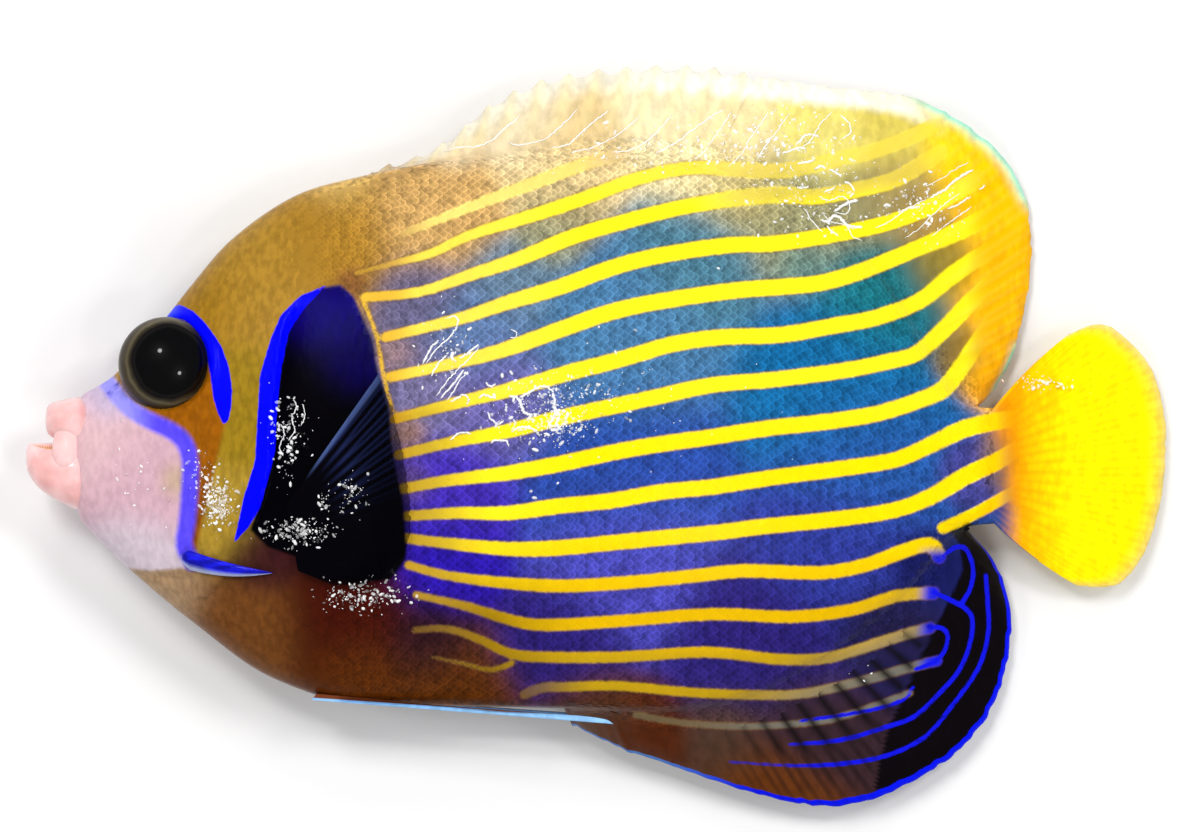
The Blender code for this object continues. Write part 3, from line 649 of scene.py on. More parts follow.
NOSTRILS = ((-61.9, 5.0), (-60.8, 6.1))
SNOUT_X, SNOUT_Y, STALK_END_X = -66.3, -2.9, 51.3
SINKS_BY, SINKS_FROM, SINKS_OVER = 7.8, 14.0, 59.0
THIN_RIM, THICKER_BY = 0.5, 0.5
EYE_CENTRE = (-54.6, 8.85)
EYE_RIM_REACH, EYE_SOCKET_REACH, EYE_SOCKET_DEPTH = 6.3, 5.9, 2.6
NOSTRIL_RIM_REACH, NOSTRIL_REACH, NOSTRIL_DEPTH = 0.62, 0.5, 0.8
SKIN_DEPTH = 0.12
FLOOR_CLEAR = 0.14


def curve(points, at):
    """A smooth value through (place, value) pairs, at many places at once."""
    where = np.array([p for p, _ in points], float)
    values = np.array([v for _, v in points], float)
    before = np.maximum(np.arange(len(where)) - 1, 0)
    after = np.minimum(np.arange(len(where)) + 1, len(where) - 1)
    slopes = (values[after] - values[before]) / (where[after] - where[before])
    at = np.clip(np.asarray(at, float), where[0], where[-1])
    i = np.clip(np.searchsorted(where, at, side="right") - 1, 0, len(where) - 2)
    step = where[i + 1] - where[i]
    t = (at - where[i]) / step
    rise = values[i + 1] - values[i]
    m0, m1 = slopes[i] * step, slopes[i + 1] * step
    return values[i] + m0 * t + (3 * rise - 2 * m0 - m1) * t**2 + (m0 + m1 - 2 * rise) * t**3


def middle_height(x):
    """Height of the fish's middle plane, which sinks toward the tail."""
    return MIDDLE - SINKS_BY * np.clip((x - SINKS_FROM) / SINKS_OVER, 0.0, 1.0) ** 2


def rim_half(x):
    """Half the thickness along the back and belly lines."""
    return THIN_RIM + THICKER_BY * ease((x + 50.0) / 30.0)


def body_half(x, u):
    """Half the thickness at a place along the body and a share u of its height, -1 to 1."""
    roundness = 0.52 + 0.16 * ease((x + 50.0) / 30.0)
    lens_shape = np.clip(1 - np.abs(u) ** 2.2, 0.0, 1.0) ** roundness
    return rim_half(x) + (curve(HALF_THICKNESS, x) - rim_half(x)) * lens_shape


def share_of_height(x, y):
    top, bottom = curve(BACK_LINE, x), curve(BELLY_LINE, x)
    return np.clip(2 * (y - bottom) / (top - bottom) - 1, -1.0, 1.0)


def ridge_at(off, wide, high):
    return high * np.exp(-((off / wide) ** 2))


def stepped(past, high, rises_over, deep, falls_over):
    """A plate's edge: the skin swells up to it and drops behind it."""
    return np.where(
        past < 0, high * np.exp(past / rises_over), -deep * np.exp(-np.maximum(past, 0) / falls_over)
    )


def relief(x, y, u):
    """How far the skin stands out from the plain form: eye rims, gill edges and folds."""
    reach = np.hypot(x - EYE_CENTRE[0], y - EYE_CENTRE[1])
    out = ridge_at(reach - EYE_RIM_REACH, 0.4, 0.26)
    out -= EYE_SOCKET_DEPTH * ease((EYE_SOCKET_REACH - reach) / 0.9)
    gill = ease((u + 0.92) / 0.12) * ease((0.58 - u) / 0.16)
    out += gill * stepped(x - curve(GILL_EDGE, u), 0.24, 1.0, 0.60, 1.6)
    cheek = ease((u + 0.64) / 0.06) * ease((0.26 - u) / 0.1)
    out += cheek * stepped(x - curve(CHEEK_EDGE, u), 0.18, 0.9, 0.24, 0.7)
    for x0, y0, x1, y1, wide, deep in FOLDS:
        run = ((x - x0) * (x1 - x0) + (y - y0) * (y1 - y0)) / ((x1 - x0) ** 2 + (y1 - y0) ** 2)
        run = np.clip(run, 0, 1)
        off = np.hypot(x - x0 - run * (x1 - x0), y - y0 - run * (y1 - y0))
        out -= ridge_at(off, wide, deep)
    for nx, ny in NOSTRILS:
        hole = np.hypot(x - nx, y - ny)
        out += ridge_at(hole - NOSTRIL_RIM_REACH, 0.22, 0.14)
        out -= NOSTRIL_DEPTH * ease((NOSTRIL_REACH - hole) / 0.3)
    return out


def body_points(x, turn):
    """Places on the skin: turn goes from the belly over the left flank to the back and on."""
    u, side = -np.cos(turn), np.sign(np.sin(turn))
    top, bottom = curve(BACK_LINE, x), curve(BELLY_LINE, x)
    y = bottom + (top - bottom) * (u + 1) / 2
    flank = np.clip(np.abs(np.sin(turn)) / 0.12, 0, 1) ** 0.6
    half = (body_half(x, u) + relief(x, y, u) - SKIN_DEPTH) * flank
    tuck = 0.72 + 0.28 * np.sqrt(1 - np.clip((SNOUT_X + 1.2 - x) / 1.2, 0, 1) ** 2)
    y = SNOUT_Y + (y - SNOUT_Y) * tuck
    z = middle_height(x) + side * half * tuck
    return x, y, np.maximum(z, FLOOR_CLEAR)


def form_places(form):
    """The form's own coordinates as columns, from which the places are worked out."""
    return np.array([v.co[:] for v in form.verts]).T


def make_piece(name, form, at, **kept):
    """Moves a form's vertices to their places in millimetres and closes it as a piece."""
    mesh = as_mesh(name, form)
    moved = (np.stack(at, axis=1) + np.array([*CENTRING, 0.0])) * MM
    mesh.vertices.foreach_set("co", moved.astype(np.float32).ravel())
    for key, numbers in kept.items():
        store(mesh, key, numbers)
    joined = bmesh.new()
    joined.from_mesh(mesh)
    bmesh.ops.remove_doubles(joined, verts=joined.verts, dist=1e-6)
    ends = [e for e in joined.edges if e.is_boundary]
    if ends:
        bmesh.ops.holes_fill(joined, edges=ends, sides=0)
    bmesh.ops.recalc_face_normals(joined, faces=joined.faces[:])
    joined.to_mesh(mesh)
    joined.free()
    mesh.shade_smooth()
    return placed(name, mesh)


LENGTHWISE, AROUND = 300, 270
skin_form = bmesh.new()
bmesh.ops.create_grid(skin_form, x_segments=LENGTHWISE, y_segments=AROUND, size=1.0)
skin_s, skin_t, _ = form_places(skin_form)
skin_turn = math.pi * (skin_t + 1)
skin_turn = np.where(skin_turn > 2 * math.pi - 1e-6, 0.0, skin_turn)
skin = make_piece(
    "skin", skin_form, body_points(SNOUT_X + (STALK_END_X - SNOUT_X) * (skin_s + 1) / 2, skin_turn)
)
paint(skin.data)
skin.data.materials.append(wet_skin("wet skin", specular=0.10, mottle=0.55, mottle_scale=1300.0))
skin.data.materials.append(wet_skin("mask skin", specular=0.05))
skin_at, _ = places(skin.data)
in_mask = depth("mask", skin_at) > -0.2
for face in skin.data.polygons:
    face.material_index = int(in_mask[face.vertices[0]])
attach(skin, "root")
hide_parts("head", "trunk", "tail_stalk", "gill_cover_left", "gill_cover_right")

# The fins: thin skin over rays that stand out on both faces, split toward the margin, and lie
# close together at the root, where the fin thickens into the body. The margins hang down.
SPINY_MARGIN = (
    (-28.5, 33.9), (-24.0, 35.2), (-19.2, 37.4), (-14.3, 41.6), (-8.5, 44.6), (-2.0, 46.2),
    (6.8, 46.98), (15.0, 46.7), (20.7, 45.8),
)
SOFT_MARGIN = (
    (20.7, 45.8), (30.1, 44.4), (36.0, 43.9), (40.8, 43.0), (45.3, 41.0), (49.7, 38.0),
    (53.4, 34.0), (55.5, 28.6), (55.9, 22.0), (54.9, 15.8), (53.3, 9.6), (50.6, 5.1),
)
ANAL_MARGIN = (
    (-3.2, -37.2), (2.5, -40.0), (10.5, -42.8), (20.2, -46.0), (28.7, -47.72), (35.0, -46.9),
    (41.6, -44.0), (46.7, -40.5), (50.8, -35.2), (53.0, -28.0), (53.0, -21.6), (51.2, -16.6),
    (48.6, -13.4),
)
CAUDAL_MARGIN = (
    (60.6, 12.8), (64.6, 14.1), (68.3, 12.0), (71.5, 7.9), (73.0, 2.4), (73.2, -1.4),
    (72.9, -6.2), (71.9, -11.2), (70.0, -16.0), (66.7, -19.4), (61.6, -19.5),
)
PECTORAL_MARGIN = (
    (-27.4, 7.6), (-25.4, 2.0), (-24.0, -5.0), (-23.4, -12.0), (-25.2, -16.4), (-29.0, -18.8),
    (-33.2, -19.0),
)
FOLDED_MARGIN = ((-20.4, -7.4), (-19.2, -9.6), (-19.4, -12.0), (-22.0, -14.6))
PELVIC_MARGIN = ((-12.0, -35.2), (-4.0, -35.6), (0.6, -36.1), (2.2, -36.8))
FIN_ROOT_DEPTH = 2.0
RAY_STEPS = 8


def along(line, share):
    """Places at shares of a line's length."""
    run = np.concatenate([[0], np.cumsum(np.hypot(*np.diff(line, axis=0).T))])
    at = share * run[-1]
    return np.stack([np.interp(at, run, line[:, 0]), np.interp(at, run, line[:, 1])], axis=1)


def inner_line(line, start, end, depth):
    """The back or belly line between two places, moved by a depth."""
    x = np.linspace(start, end, 80)
    rise = (curve(line, x + 0.05) - curve(line, x - 0.05)) / 0.1
    length = np.hypot(rise, 1.0)
    return np.stack([x + rise / length * depth, curve(line, x) - depth / length], axis=1)


def fin(name, solids, slot, parts, height, root=0.6, edge=0.12, ridge=0.2, rows=46, flare=True,
        split_at=0.5, faces=(1, 1), ragged=0.10, seed=3, flush=0.0, inset=0.4):
    """A fin of parts, each with a base, a margin, a number of rays, a bow and a kind of ray."""
    draw = np.random.default_rng(seed)
    rays = sum(part[2] for part in parts)
    form = bmesh.new()
    bmesh.ops.create_grid(form, x_segments=rays * RAY_STEPS, y_segments=rows, size=1.0)
    bmesh.ops.solidify(form, geom=form.faces[:], thickness=1.0)
    p, q, layer = form_places(form)
    phase, out = (p + 1) / 2 * rays, (q + 1) / 2
    upper = layer > layer.mean()
    start, end = np.empty((len(p), 2)), np.empty((len(p), 2))
    bow, stiff, local = np.empty(len(p)), np.empty(len(p)), np.empty(len(p))
    first = 0
    for base, margin, count, bowed, spiny in parts:
        here = (phase >= first - 1e-6) & (phase <= first + count + 1e-6)
        share = np.clip((phase[here] - first) / count, 0, 1)
        start[here] = along(np.asarray(base, float), share)
        end[here] = along(rounded(np.asarray(margin, float), 8), share)
        bow[here], stiff[here], local[here] = bowed, spiny, share
        first += count
    nearest = np.abs(phase - np.floor(phase) - 0.5) * 2
    crest = np.clip(1 - nearest / 0.6, 0, 1) ** 0.8
    halves = np.clip(1 - np.abs(nearest - 0.42) / 0.32, 0, 1)
    split = ease((out - split_at) / 0.2) * (1 - stiff)
    ray = crest * (1 - split) + halves * split * 0.8
    run = end - start
    length = np.hypot(*run.T)
    run = run / length[:, None]
    tips = np.interp(phase, np.linspace(0, rays, rays * 4), draw.normal(0, ragged, rays * 4))
    tips += stiff * 0.9 * (crest - 0.75)
    end = end + run * np.clip(tips, -1.0, 0.35)[:, None]
    sideways = np.stack([-run[:, 1], run[:, 0]], axis=1)
    at = start + (end - start) * out[:, None]
    at += sideways * (bow * (1 - 2 * local) * 4 * out * (1 - out))[:, None]
    thin = root + (edge - root) * np.clip(1.7 * out, 0, 1) ** 0.8
    thin = thin * (1 - 0.5 * ease((out - 0.9) / 0.1)) + 0.02
    if flare:
        body = body_half(start[:, 0], share_of_height(start[:, 0], start[:, 1])) - inset
        thin = np.maximum(thin, body * np.exp(-((np.maximum(out * length - flush, 0) / 2.4) ** 1.3)))
    raised = ridge * ray * (1 - 0.7 * out) * ease((out * length - 2.0) / 3.0)
    side = np.where(upper, 1.0, -1.0)
    rest = height(at[:, 0], at[:, 1], out, local)
    z = rest + side * (thin + raised * np.where(upper, faces[1], faces[0]))
    made = make_piece(
        name, form, (at[:, 0], at[:, 1], np.maximum(z, 0.03)),
        ray=ray, out=out, gone=out * length, left=(1 - out) * length, phase=phase,
    )
    paint(made.data, fin=True)
    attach(made, "root")
    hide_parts(*solids)
    return made


def kept(mesh, *names):
    """The values or colours stored under some names, each with a row for every vertex."""
    found = []
    for name in names:
        held = mesh.attributes[name]
        key, wide = ("value", 1) if held.data_type == "FLOAT" else ("color", 4)
        numbers = np.empty(len(mesh.vertices) * wide, np.float32)
        held.data.foreach_get(key, numbers)
        numbers = numbers.astype(float)
        found.append(numbers if wide == 1 else numbers.reshape(-1, 4)[:, :3])
    return found


def fin_skin(name, amount, tone, clear=False, specular=0.10):
    """Fin skin: the shared markings, with rays of their own tone, clearer near the margin."""
    made = wet_skin(name, mottle=0.12, specular=specular)
    tree = made.node_tree
    shader = tree.nodes["Principled BSDF"]
    painted = shader.inputs["Base Color"].links[0].from_socket
    strength = value(tree, "MULTIPLY", stored(tree, "ray_show"), amount)
    shown = value(tree, "MULTIPLY", stored(tree, "ray"), strength)
    fill(tree, shader, {"Base Color": mixed(tree, shown, painted, tone)})
    if clear:
        fill(tree, shader, {"Alpha": stored(tree, "film")})
    return made


def dorsal_height(x, y, w, t):
    share = ease((x - 5.0) / 30.0)
    return middle_height(x) - (4.0 + 1.2 * share) * w ** (1.6 - 0.1 * share)


dorsal = fin(
    "dorsal", ("dorsal_fin_spiny", "dorsal_fin_soft"), "dorsal_fin_rear",
    ((inner_line(BACK_LINE, -31.0, 15.2, FIN_ROOT_DEPTH), SPINY_MARGIN, 14, 0.0, 1.0),
     (inner_line(BACK_LINE, 15.2, 46.6, FIN_ROOT_DEPTH), SOFT_MARGIN, 22, 0.5, 0.0)),
    dorsal_height,
)
_, (x, y) = places(dorsal.data)
left, out, ground, gold, fringe = kept(dorsal.data, "left", "out", "ground", "gold", "fringe")
begun = ease((x - 372) / 70)
pale_edge = begun * ease((4.0 - left) / 4.0) * ease((860 - x) / 100)
white_edge = ease((3.8 - left) / 2.0) * ease((x - 600) / 80) * ease((960 - x) / 60)
corner = np.maximum(ease((x - 900) / 50) * ease((215 - y) / 30), ease((y - 335) / 20))
ground = layered(
    ground, ((240, 234, 214), pale_edge), ((246, 244, 230), white_edge * 0.9),
    ((236, 240, 190), ease((1.9 - left) / 1.5) * corner * 0.7),
    ((150, 236, 214), ease((0.7 - left) / 0.4) * corner),
)
store(dorsal.data, "ground", ground)
merged = np.maximum(ease((x - 965) / 40), ease((3.0 - left) / 2.0))
for name, tones in (("gold", gold), ("fringe", fringe)):
    store(dorsal.data, name, layered(tones, (ground, merged)))
store(dorsal.data, "ray_show", ease((out - 0.25) / 0.3) * (0.12 + 0.6 * ease((860 - x) / 120)))
thin_front = ease((820 - x) / 200)
store(dorsal.data, "film", 1 - ease((2.5 - left) / 2.5) * (0.12 + 0.3 * thin_front))
dorsal.data.materials.append(fin_skin("dorsal fin skin", 0.4, (242, 226, 160), clear=True))


def hanging(by, power):
    return lambda x, y, w, t: middle_height(x) - by * w**power


anal = fin(
    "anal", ("anal_fin",), "anal_fin",
    ((inner_line(BELLY_LINE, -5.0, 46.4, -FIN_ROOT_DEPTH), ANAL_MARGIN, 24, 0.0, 0.0),),
    hanging(5.0, 1.5), ridge=0.08,
)
at, (x, y) = places(anal.data)
left, out, blue, blue_tone, wet = kept(anal.data, "left", "out", "blue", "blue_tone", "wet")
rim = np.interp(x, [620, 700, 860, 1000], [0.3, 0.7, 0.95, 0.65])
store(anal.data, "blue", np.maximum(blue, np.minimum(rim - left, 1.0)))
edge_tone = layered((70, 120, 190), ((6, 20, 236), ease((x - 640) / 120)))
store(anal.data, "blue_tone", layered(blue_tone, (edge_tone, ease((rim + 0.4 - left) / 0.2))))
pale_part = ease((-depth("dark_end", at) - 0.1) / 0.5)
store(anal.data, "wet", 0.6 * wet)
rays_shown = pale_part * ease((y - 600) / 60) * ease((x - 700) / 90) * ease((1.1 - out) / 0.3)
store(anal.data, "ray_show", rays_shown)
anal.data.materials.append(fin_skin("anal fin skin", 0.9, (14, 10, 12)))

caudal = fin(
    "tail", ("caudal_fin",), "caudal_fin", ((((50.2, 2.6), (50.2, -10.8)), CAUDAL_MARGIN, 19, 0.5, 0.0),),
    hanging(0.9, 1.5), root=0.8, edge=0.1, ridge=0.07, split_at=0.35, ragged=0.04, flush=1.2, inset=0.18,
)
left, out, ground = kept(caudal.data, "left", "out", "ground")
store(caudal.data, "ground", layered(ground, ((255, 228, 70), ease((2.6 - left) / 2.6))))
for name in ("blue", "mask", "band"):
    store(caudal.data, name, FAR_OUTSIDE)
store(caudal.data, "wet", 0.35)
store(caudal.data, "ray_show", ease(out / 0.2))
store(caudal.data, "film", 1 - 0.5 * ease((1.6 - left) / 1.6))
caudal.data.materials.append(fin_skin("tail fin skin", 0.3, (238, 150, 0), clear=True))


def over_left(x, y, w, t):
    return middle_height(x) + body_half(x, share_of_height(x, y)) + 0.62 + 0.45 * w + 0.35 * (1 - w)


pectoral = fin(
    "pectoral_left", ("pectoral_fin_left",), "pectoral_fins",
    ((((-39.1, -9.0), (-37.6, -17.2)), PECTORAL_MARGIN, 17, 0.0, 0.0),),
    over_left, root=0.4, edge=0.08, ridge=0.04, flare=False, split_at=0.55, faces=(0, 1),
)
folded = fin(
    "pectoral_right", ("pectoral_fin_right",), "pectoral_fins",
    ((((-38.6, -9.0), (-38.6, -14.0)), FOLDED_MARGIN, 10, 0.0, 0.0),),
    lambda x, y, w, t: 0.75 + 0 * x, root=0.3, edge=0.1, ridge=0.12, rows=20, flare=False, faces=(1, 0),
)
pectoral_skin = fin_skin("pectoral skin", 0.7, (34, 44, 92), clear=True, specular=0.05)
for piece in (pectoral, folded):
    phase, out, wet = kept(piece.data, "phase", "out", "wet")
    lead = ease((0.62 - phase) / 0.3)
    sheen = lead * ease((out - 0.2) / 0.25) * (1 - 0.45 * out)
    store(piece.data, "ground", layered((3, 2, 6), ((72, 92, 146), sheen)))
    for name in ("stripe", "blue", "mask", "band"):
        store(piece.data, name, FAR_OUTSIDE)
    store(piece.data, "ray_show", ease((9 - phase) / 7) * ease((out - 0.3) / 0.3))
    store(piece.data, "wet", 0.5 * wet)
    store(piece.data, "film", 1 - 0.6 * ease((out - 0.5) / 0.5) * (1 - lead))
    piece.data.materials.append(pectoral_skin)

pelvic_skin = fin_skin("pelvic skin", 0.6, (150, 96, 60))
for side, word in ((1, "left"), (-1, "right")):
    pelvic = fin(
        f"pelvic_{word}", (f"pelvic_fin_{word}",), "pelvic_fins",
        ((((-35.6, -33.0), (-36.2, -33.8)), PELVIC_MARGIN, 6, 0.0, 0.0),),
        lambda x, y, w, t, side=side: middle_height(x) + side * (2.0 + 1.5 * w),
        root=0.6, edge=0.25, ridge=0.2, rows=60, flare=False,
    )
    (phase,) = kept(pelvic.data, "phase")
    lead = ease((phase - 3.4) / 0.8)
    store(pelvic.data, "ground", layered((104, 50, 26), ((140, 190, 236), lead)))
    for name in ("stripe", "blue", "mask", "band"):
        store(pelvic.data, name, FAR_OUTSIDE)
    store(pelvic.data, "ray_show", 0.5 * (1 - lead))
    pelvic.data.materials.append(pelvic_skin)

# Scales in slanting rows over body and fin roots, each a small solid plate. Its root is sunk in
# the skin and its rounded rear edge lies on the next row. They are smallest behind the gill covers.
SCALE_THICK, SCALE_SUNK, SCALE_RIM = 0.07, 0.12, 7
SCALE_TALL, SCALE_APART, STEEPEST = 1.02, 0.60, 2.5
SCALE_LIFT, LEANS_MOST, MOST_FACES = 0.34, 0.9, 190000
SCALES_FROM, SCALES_TO, ROW_STEP, ROW_LENGTH = -50.0, 57.0, 0.1, 110.0
COAT_STEP, EASED_OVER, ENOUGH_ROUND = 0.3, 0.75, 0.82
COAT_X, COAT_Y = np.arange(-68.0, 58.0, COAT_STEP), np.arange(-49.0, 48.5, COAT_STEP)


def face_tree(piece):
    """A piece's faces, ready to be met by straight lines."""
    form = bmesh.new()
    form.from_mesh(piece.data)
    tree = BVHTree.FromBMesh(form)
    form.free()
    return tree


def draped(side):
    """Height of the skin and fins' outer face over a grid, eased where they meet, as it is,
    and where there is enough of it round a place for scales."""
    trees = [face_tree(piece) for piece in (skin, dorsal, anal, caudal)]
    way = Vector((0, 0, -side))
    high = np.full((len(COAT_X), len(COAT_Y)), np.nan)
    for i, x in enumerate(COAT_X):
        for j, y in enumerate(COAT_Y):
            start = Vector(((x + CENTRING[0]) * MM, (y + CENTRING[1]) * MM, 0.05 * side))
            hits = [tree.ray_cast(start, way)[0] for tree in trees]
            found = [hit.z / MM for hit in hits if hit]
            if found:
                high[i, j] = max(found) if side > 0 else min(found)
    weight = np.isfinite(high).astype(float)
    total = np.where(weight > 0, high, 0.0)
    kernel = np.exp(-0.5 * (np.arange(-6, 7) * COAT_STEP / EASED_OVER) ** 2)
    for axis in (0, 1):
        weight = np.apply_along_axis(np.convolve, axis, weight, kernel, "same")
        total = np.apply_along_axis(np.convolve, axis, total, kernel, "same")
    smooth = total / np.maximum(weight, 1e-9)
    sharp = np.where(np.isfinite(high), high, smooth)
    lying = 0.4 * smooth + 0.6 * sharp
    lying = np.maximum(lying, sharp) if side > 0 else np.minimum(lying, sharp)
    return lying, sharp, weight / kernel.sum() ** 2 > ENOUGH_ROUND


def coat_read(grid, x, y):
    return between_points(grid, (COAT_X[0], COAT_Y[0]), COAT_STEP, x, y)


def scaled_part(x, y):
    """1 where scales grow, falling to 0 out on the fins and toward the gill edge."""
    above, below = y - curve(BACK_LINE, x), curve(BELLY_LINE, x) - y
    reach = np.interp(x, [-32, -18, 0, 20, 45, 52], [0.0, 1.5, 3.5, 5.0, 6.0, 5.0])
    part = ease((reach - above) / 4.0) * ease((np.interp(x, [-10, 8, 50], [0.0, 3.5, 7.0]) - below) / 2.5)
    part *= ease((50.8 - x) / 3.0) * ease((x + 42.0) / 12.0)
    part *= ~((above > -0.8) & (x < -30.0)) & ~((below > -0.8) & (x < -4.0))
    part *= 1 - ease((x - 42.0) / 4.0) * ease((below + 0.5) / 1.5)
    part *= ~((depth_at("mask", x, y) > 0.3) & (x < -27.0))
    part *= ~(depth_at("blue", x, y) > -0.25)
    u = share_of_height(x, y)
    return part * ((x - curve(GILL_EDGE, u) > 0.6) | (u > 0.6))


def depth_at(name, x, y):
    """Depth inside a marking of a place on the flank, as seen from above."""
    at = as_seen(np.column_stack([x, y]), middle_height(x) + body_half(x, share_of_height(x, y)))
    return depth(name, at)


def scale_roots(draw, cover):
    """Where one flank's scales are rooted, column by column: x, y, height of a scale and how
    far down its column it lies."""
    high, _, covered = cover
    slope_y = np.gradient(high, COAT_STEP, axis=1)
    column, k, roots = SCALES_FROM, 0, []
    while column < SCALES_TO:
        size = 0.52 + 0.48 * ease((column + 48.0) / 26.0)
        y = np.arange(-48.0, 47.5, ROW_STEP)
        x = np.full(len(y), column)
        rise = np.clip(coat_read(slope_y, x, y), -STEEPEST, STEEPEST)
        out = np.maximum(y - curve(BACK_LINE, x), curve(BELLY_LINE, x) - y)
        tall = SCALE_TALL * size * (1 - 0.40 * ease((out + 2) / 8.0))
        passed = np.cumsum(np.hypot(1.0, rise) * ROW_STEP / tall)
        shown = scaled_part(x, y) > draw.uniform(0.15, 0.6, len(y))
        shown &= coat_read(covered.astype(float), x, y) > 0.99
        stops = np.searchsorted(passed, np.arange(1, int(passed[-1])) + (0.5 if k % 2 else 0.0))
        stops = stops[stops < len(y)]
        stops = stops[shown[stops]]
        roots.append(np.column_stack([x[stops], y[stops], tall[stops], passed[stops] / ROW_LENGTH]))
        column += SCALE_APART * size
        k += 1
    return np.concatenate(roots).T


def scale_plate():
    """One scale's corners, as shares ahead and across and a height, and its faces: the middle,
    the rim that stands out from the skin, and the same rim lower and a little smaller."""
    rim = [(-0.75, 0.46, -SCALE_SUNK)]
    for a in np.linspace(-1.3, 1.3, SCALE_RIM - 2):
        rim.append((0.80 * math.cos(a) - 0.10, -0.56 * math.sin(a), SCALE_THICK * 0.7))
    rim += [(-0.75, -0.46, -SCALE_SUNK)]
    points = [(0.1, 0.0, SCALE_THICK)] + rim + [(a * 0.92, b * 0.92, c - 0.14) for a, b, c in rim]
    faces = [(0, n, n + 1) for n in range(1, SCALE_RIM)] + [(0, SCALE_RIM, 1)]
    for n in range(1, SCALE_RIM + 1):
        m = n % SCALE_RIM + 1
        faces += [(n, n + SCALE_RIM, m), (m, n + SCALE_RIM, m + SCALE_RIM)]
    faces += [(1 + SCALE_RIM, n + 1 + SCALE_RIM, n + SCALE_RIM) for n in range(2, SCALE_RIM)]
    return points, np.array(faces)


def scale_mesh(name, corners, faces, spread):
    """A mesh of many scales with flat faces, spread out for the markings to be kept on it."""
    mesh = bpy.data.meshes.new(name)
    moved = (corners + np.array([*CENTRING, 0.0])) * MM
    mesh.vertices.add(len(moved))
    mesh.vertices.foreach_set("co", moved.astype(np.float32).ravel())
    mesh.loops.add(faces.size)
    mesh.loops.foreach_set("vertex_index", faces.ravel().astype(np.int32))
    mesh.polygons.add(len(faces))
    mesh.polygons.foreach_set("loop_start", (np.arange(len(faces)) * 3).astype(np.int32))
    mesh.update(calc_edges=True)
    mesh.shade_flat()
    layer = mesh.uv_layers.new(name="OFBake")
    layer.data.foreach_set("uv", spread[faces.ravel()].astype(np.float32).ravel())
    mesh.materials.append(scale_skin)
    return mesh


def scales_on(word, side, seed, cover):
    """One flank's scales, as joined meshes that each stay small enough. Toward the border of
    the coat and on the gold they lie flatter and lose their own tones."""
    draw = np.random.default_rng(seed)
    high, sharp, _ = cover
    x, y, tall, level = scale_roots(draw, cover)
    count = len(x)
    x = x + draw.normal(0, 0.03, count)
    y = y + draw.normal(0, 0.04, count)
    slopes = (np.gradient(high, COAT_STEP, axis=axis) for axis in (0, 1))
    sx, sy = (np.clip(coat_read(slope, x, y), -STEEPEST, STEEPEST) for slope in slopes)
    above, below = y - curve(BACK_LINE, x), curve(BELLY_LINE, x) - y
    lean = LEANS_MOST * ease((above + 1.0) / 8.0) * ease((x + 20) / 30)
    lean = lean - LEANS_MOST * ease((below + 1.0) / 8.0) * ease(x / 20)
    lean = lean + draw.normal(0, 0.06, count)
    ahead = np.stack([np.cos(lean), np.sin(lean), sx * np.cos(lean) + sy * np.sin(lean)], axis=1)
    ahead /= np.linalg.norm(ahead, axis=1)[:, None]
    normal = np.stack([-sx, -sy, np.ones(count)], axis=1)
    normal /= np.linalg.norm(normal, axis=1)[:, None]
    across = np.cross(normal, ahead)
    firm = ease((scaled_part(x, y) - 0.15) / 0.7)
    golden = ease((depth_at("stripe", x, y) + 0.1) / 0.4)
    bed = coat_read(sharp, x, y)
    bed += (coat_read(high, x, y) - bed) * firm
    here = np.stack([x, y, bed + 0.015 * side], axis=1)
    lift = (1 + draw.normal(0, 0.2, count)) * (tall / SCALE_TALL) * (0.15 + 0.85 * ease((x + 46.0) / 22.0))
    lift *= SCALE_LIFT * (1 - 0.5 * ease(np.maximum(above, below) / 6.0)) * (0.1 + 0.9 * firm)
    lift *= 1 - 0.6 * golden
    plain = firm * (1 - 0.45 * golden)
    points, faces = scale_plate()
    faces = faces[:, ::-1] if side > 0 else faces
    verts = np.empty((count, len(points), 3))
    for n, (a, b, c) in enumerate(points):
        verts[:, n] = (
            here + ahead * (a * tall * 0.95)[:, None] + across * (b * tall * 1.06)[:, None]
            + normal * side * (c * lift)[:, None]
        )
    verts[:, :, 2] = np.maximum(verts[:, :, 2], 0.02)
    root = np.stack([(x + 68.0) / 128.0, 0.01 + 0.48 * level + (0.0 if side > 0 else 0.5)], axis=1)
    spread = root[:, None, :] + (np.array([(a, b) for a, b, _ in points]) * 0.002)[None]
    rear = np.array([0.1] + [0.0] + [1.0] * (SCALE_RIM - 2) + [0.0] + [0.3] * SCALE_RIM)
    pieces = max(1, math.ceil(count * len(faces) / MOST_FACES))
    for number, chosen in enumerate(np.array_split(np.arange(count), pieces), 1):
        first = (np.arange(len(chosen)) * len(points))[:, None, None]
        mesh = scale_mesh(
            f"scales_{word}_{number}", verts[chosen].reshape(-1, 3),
            (faces[None] + first).reshape(-1, 3), spread[chosen].reshape(-1, 2),
        )
        paint(mesh, fin=True)
        own = 0.5 + (draw.uniform(0, 1, len(chosen)) - 0.5) * plain[chosen]
        store(mesh, "own_tone", np.repeat(own, len(points)))
        store(mesh, "rear", (0.57 + (rear[None] - 0.57) * plain[chosen][:, None]).ravel())
        made = placed(mesh.name, mesh)
        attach(made, "root")


def scale_shade(tree):
    """Each scale has a tone of its own and a paler rear edge."""
    own = between(tree, stored(tree, "own_tone"), 0.0, 1.0, 0.80, 1.20)
    return value(tree, "MULTIPLY", own, between(tree, stored(tree, "rear"), 0.45, 1.0, 0.90, 1.34))


